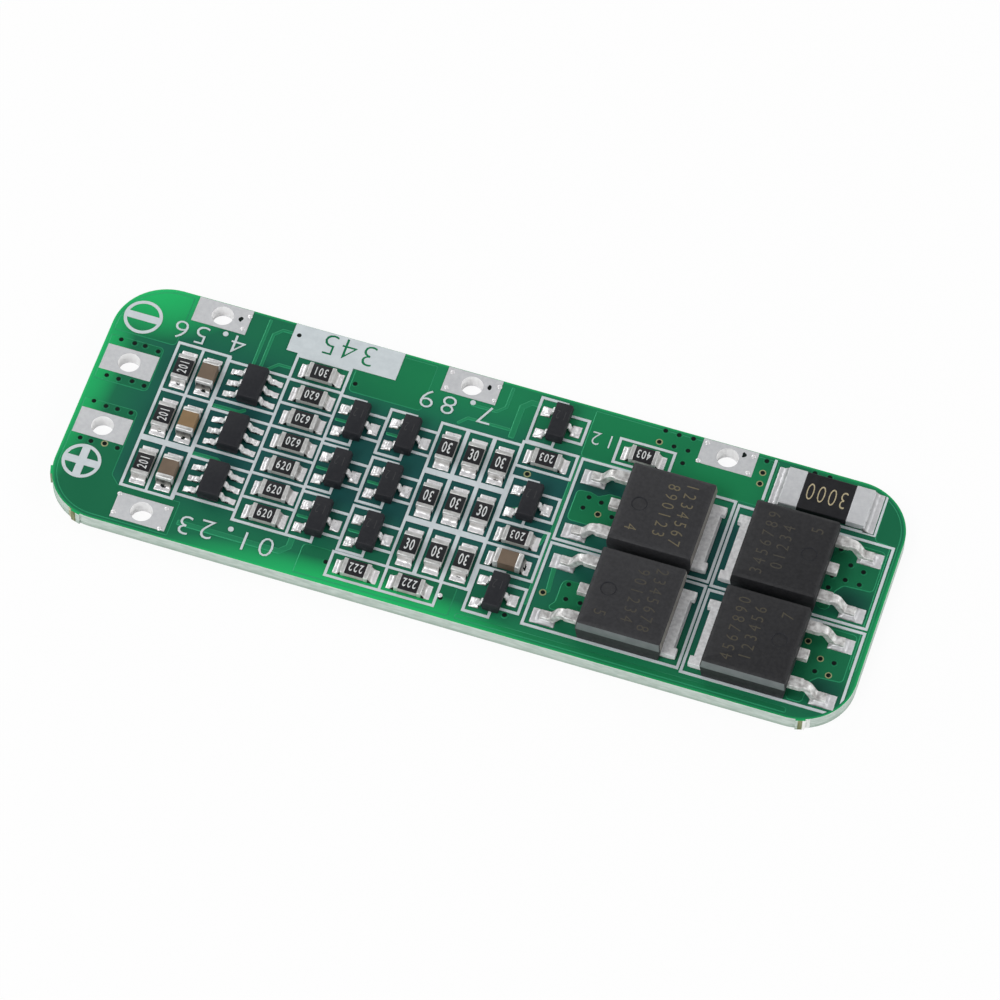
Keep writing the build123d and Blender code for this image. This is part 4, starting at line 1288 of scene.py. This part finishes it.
landTop = boardTop + 0.04
via = {
    "hole": 0.17,
    "ring": 0.27,
    "slope": 0.03,       # the ring rounds off over this much on both sides
    "height": 0.004,
    "darkTop": 0.0015,   # the hole is shown by a dark disc a hair over its rim, painted shade in the hole
}
viaPlaces = [
    (-28.25, 4.69), (-27.24, 4.69), (-26.45, 4.70), (-25.42, 4.56), (-28.21, 1.51), (-27.32, 1.48),
    (-26.34, 1.60), (-25.40, 1.50), (-28.34, -0.81), (-27.39, -0.95), (-26.53, -0.93),
    (-25.52, -0.93), (-28.22, -4.01), (-27.40, -4.04), (-25.44, -4.00), (-11.27, 6.42),
    (-8.53, -8.23), (4.60, -8.37), (-0.05, -8.47), (10.79, 9.65), (11.80, 9.60), (12.85, 9.63),
    (11.73, 8.58), (12.77, 8.55), (12.71, 7.44), (18.30, 9.49), (21.80, 9.60), (22.90, 9.60),
    (7.30, 2.65), (8.25, 2.50), (7.15, 1.70), (9.30, 1.60), (8.10, -4.60), (8.25, -5.80),
    (9.30, -5.80), (25.30, 4.17), (26.30, 3.12), (27.30, 2.86), (25.30, 1.90), (26.26, 1.85),
    (27.30, 1.78), (25.30, 0.90), (27.40, -4.84), (26.30, -5.88),
]
bareVias = [(-26.42, -3.93), (2.60, 3.11), (10.63, 8.62), (18.30, 8.47), (18.36, 7.54),
            (8.30, 1.50), (6.57, -5.78), (26.40, -4.80), (27.30, -5.90), (25.20, -3.70)]
shape = bmesh.new()
hole, ring, slope, height = via["hole"], via["ring"], via["slope"], via["height"]
profile = [(ring, -0.03), (ring - slope, height - 0.001), (hole + slope, height), (hole, 0.0)]
for look, places in enumerate((viaPlaces, bareVias)):
    for x, y in places:
        spot = at(x, y, landTop)
        addRings(shape, [circle(radius, z) for radius, z in profile], spot, look)
        addPlate(shape, circle(hole), -0.02, via["darkTop"], spot, 2)
makePiece("viaRims", shape, ["copper", "viaTan", "paintedShadeAndReflection"])

landMarks = {
    "dots": [(-20.20, 9.45), (-20.38, 8.28), (-20.48, -7.62), (-20.44, -9.33), (-24.00, -7.50),
             (-23.95, -9.04), (-5.03, 9.56), (-5.06, 8.19), (-1.47, 9.42), (-1.50, 8.21),
             (13.88, 9.63), (13.68, 8.01), (17.31, 9.56), (17.29, 8.14), (-0.14, -8.28)],
    "dot": 0.19,
    "dotLevels": [(1.0, -0.01), (0.85, 0.025), (0.5, 0.045), (0.1, 0.052)],       # share, height
    # dark ovals on three lands: painted shade of small dents that are not modelled
    "pits": [(-20.75, 9.02), (-2.13, 9.15), (16.62, 9.48)],
    "pit": (0.192, 0.288),       # half length and half width, before it is made uneven
}
shape = bmesh.new()
for x, y in landMarks["dots"]:
    rings = [circle(landMarks["dot"] * share, z, 12) for share, z in landMarks["dotLevels"]]
    addRings(shape, rings, at(x, y, landTop), 0)
for x, y in landMarks["pits"]:
    halfX, halfY = landMarks["pit"]
    outline = []
    for px, py, z in circle(1.0, steps=14):
        share = 0.75 + 0.5 * noise.noise(Vector((x + px, y + py, 0)))
        outline.append((halfX * share * px, halfY * share * py))
    addPlate(shape, outline, -0.02, 0.004, at(x, y, landTop), 1)
makePiece("landMarks", shape, ["solder", "paintedShadeAndReflection"])
print("vias and land marks made")


# rough ends of the break-off tabs on the edge

stub = {                 # places: x, y, which way it looks, finish and width
    "places": [(-26.90, -9.69, 247, "sawnStub", 0.34), (26.93, -9.67, 293, "glassChip", 0.36)],
    "levels": (0.08, 0.3, 0.55, 0.8, 1.0, 1.14),
    "outline": [(0.0, -0.5), (0.05, -0.25), (0.06, 0), (0.05, 0.25), (0.0, 0.5), (-0.15, 0)],
    "roughness": 0.03,
}
for i, (x, y, turn, look, wide) in enumerate(stub["places"]):
    shape = bmesh.new()
    rings = []
    for z in stub["levels"]:
        ring = []
        for px, share in stub["outline"]:
            py = share * wide
            rough = stub["roughness"] * noise.noise(Vector((px * 9 + i, py * 9, z * 5)))
            ring.append((px + rough, py * (1 + rough * 4), z))
        rings.append(ring)
    addRings(shape, rings, at(x, y, 0, turn), 0)
    makePiece(f"brokenStub{i + 1}", shape, [look], (), 0.0, 20)
print("stubs made")


# floor, light and camera

floorLook = {
    "size": 3.0,
    "colour": (0.95, 0.95, 0.95),
    "glow": 0.92,        # share that shows plain white to the camera and in reflections
    "drop": 0.03,        # millimetres below the board
}
shape = bmesh.new()
bmesh.ops.create_grid(shape, x_segments=1, y_segments=1, size=floorLook["size"] / 2)
mesh = bpy.data.meshes.new("floor")
shape.to_mesh(mesh)
shape.free()
floor = bpy.data.objects.new("floor", mesh)
floor.location.z = -floorLook["drop"] * mm
scene.collection.objects.link(floor)
floorMaterial, tree, shader = startMaterial("paleFloor", specular=0.1)
shader.inputs["Base Color"].default_value = (*floorLook["colour"], 1)
shader.inputs["Roughness"].default_value = 0.9
glow = tree.nodes.new("ShaderNodeEmission")
glow.inputs["Strength"].default_value = 1.0
paths = tree.nodes.new("ShaderNodeLightPath")
seen = mathNode(tree, "MAXIMUM", paths.outputs["Is Camera Ray"], paths.outputs["Is Glossy Ray"])
seen = mathNode(tree, "MAXIMUM", seen, paths.outputs["Is Transmission Ray"])
share = mathNode(tree, "MULTIPLY", seen, floorLook["glow"])
mixed = tree.nodes.new("ShaderNodeMixShader")
tree.links.new(share, mixed.inputs["Fac"])
tree.links.new(shader.outputs[0], mixed.inputs[1])
tree.links.new(glow.outputs[0], mixed.inputs[2])
tree.links.new(mixed.outputs[0], tree.nodes["Material Output"].inputs["Surface"])
mesh.materials.append(floorMaterial)

# a white tent: bright at the sides, darker overhead
tent = {
    "side": 0.95,
    "overhead": 0.22,
    "fade": (0.42, 0.72),
}
world = bpy.data.worlds.new("studio")
world.use_nodes = True
tree = world.node_tree
background = tree.nodes["Background"]
background.inputs["Color"].default_value = (1.0, 1.0, 1.0, 1)
coords = tree.nodes.new("ShaderNodeTexCoord")
parts = tree.nodes.new("ShaderNodeSeparateXYZ")
tree.links.new(coords.outputs["Generated"], parts.inputs[0])
level = spread(tree, parts.outputs["Z"], *tent["fade"], tent["side"], tent["overhead"])
tree.links.new(level, background.inputs["Strength"])
scene.world = world

lamps = {
    "keyLamp": {"place": (-0.35, -0.55, 0.75), "size": 0.5, "power": 3.7},
    "sideLamp": {"place": (0.75, 0.15, 0.45), "size": 0.45, "power": 1.7},
    "backLamp": {"place": (-0.50, 0.45, 0.50), "size": 0.35, "power": 1.1},
}
for name, lamp in lamps.items():
    data = bpy.data.lights.new(name, "AREA")
    data.size = lamp["size"]
    data.energy = lamp["power"]
    lampObject = bpy.data.objects.new(name, data)
    lampObject.location = lamp["place"]
    lampObject.rotation_euler = (-Vector(lamp["place"])).to_track_quat("-Z", "Y").to_euler()
    scene.collection.objects.link(lampObject)

photoView = {
    "place": (0.0645845, -0.2192584, 0.3708314),
    "right": (0.95183192, 0.30601284, 0.0192907),
    "up": (-0.27000509, 0.80669386, 0.52568266),
    "back": (0.14530396, -0.50557013, 0.850462),
    "lens": 222.985,
    "sensor": 36.0,
    "near": 0.01,
    "far": 20.0,
}
cameraData = bpy.data.cameras.new("photoCamera")
cameraData.lens = photoView["lens"]
cameraData.sensor_width = photoView["sensor"]
cameraData.clip_start = photoView["near"]
cameraData.clip_end = photoView["far"]
cameraObject = bpy.data.objects.new("photoCamera", cameraData)
turned = Matrix((photoView["right"], photoView["up"], photoView["back"])).transposed().to_4x4()
cameraObject.matrix_world = Matrix.Translation(photoView["place"]) @ turned
scene.collection.objects.link(cameraObject)
scene.camera = cameraObject
scene.view_settings.view_transform = "Standard"
print("stage made")
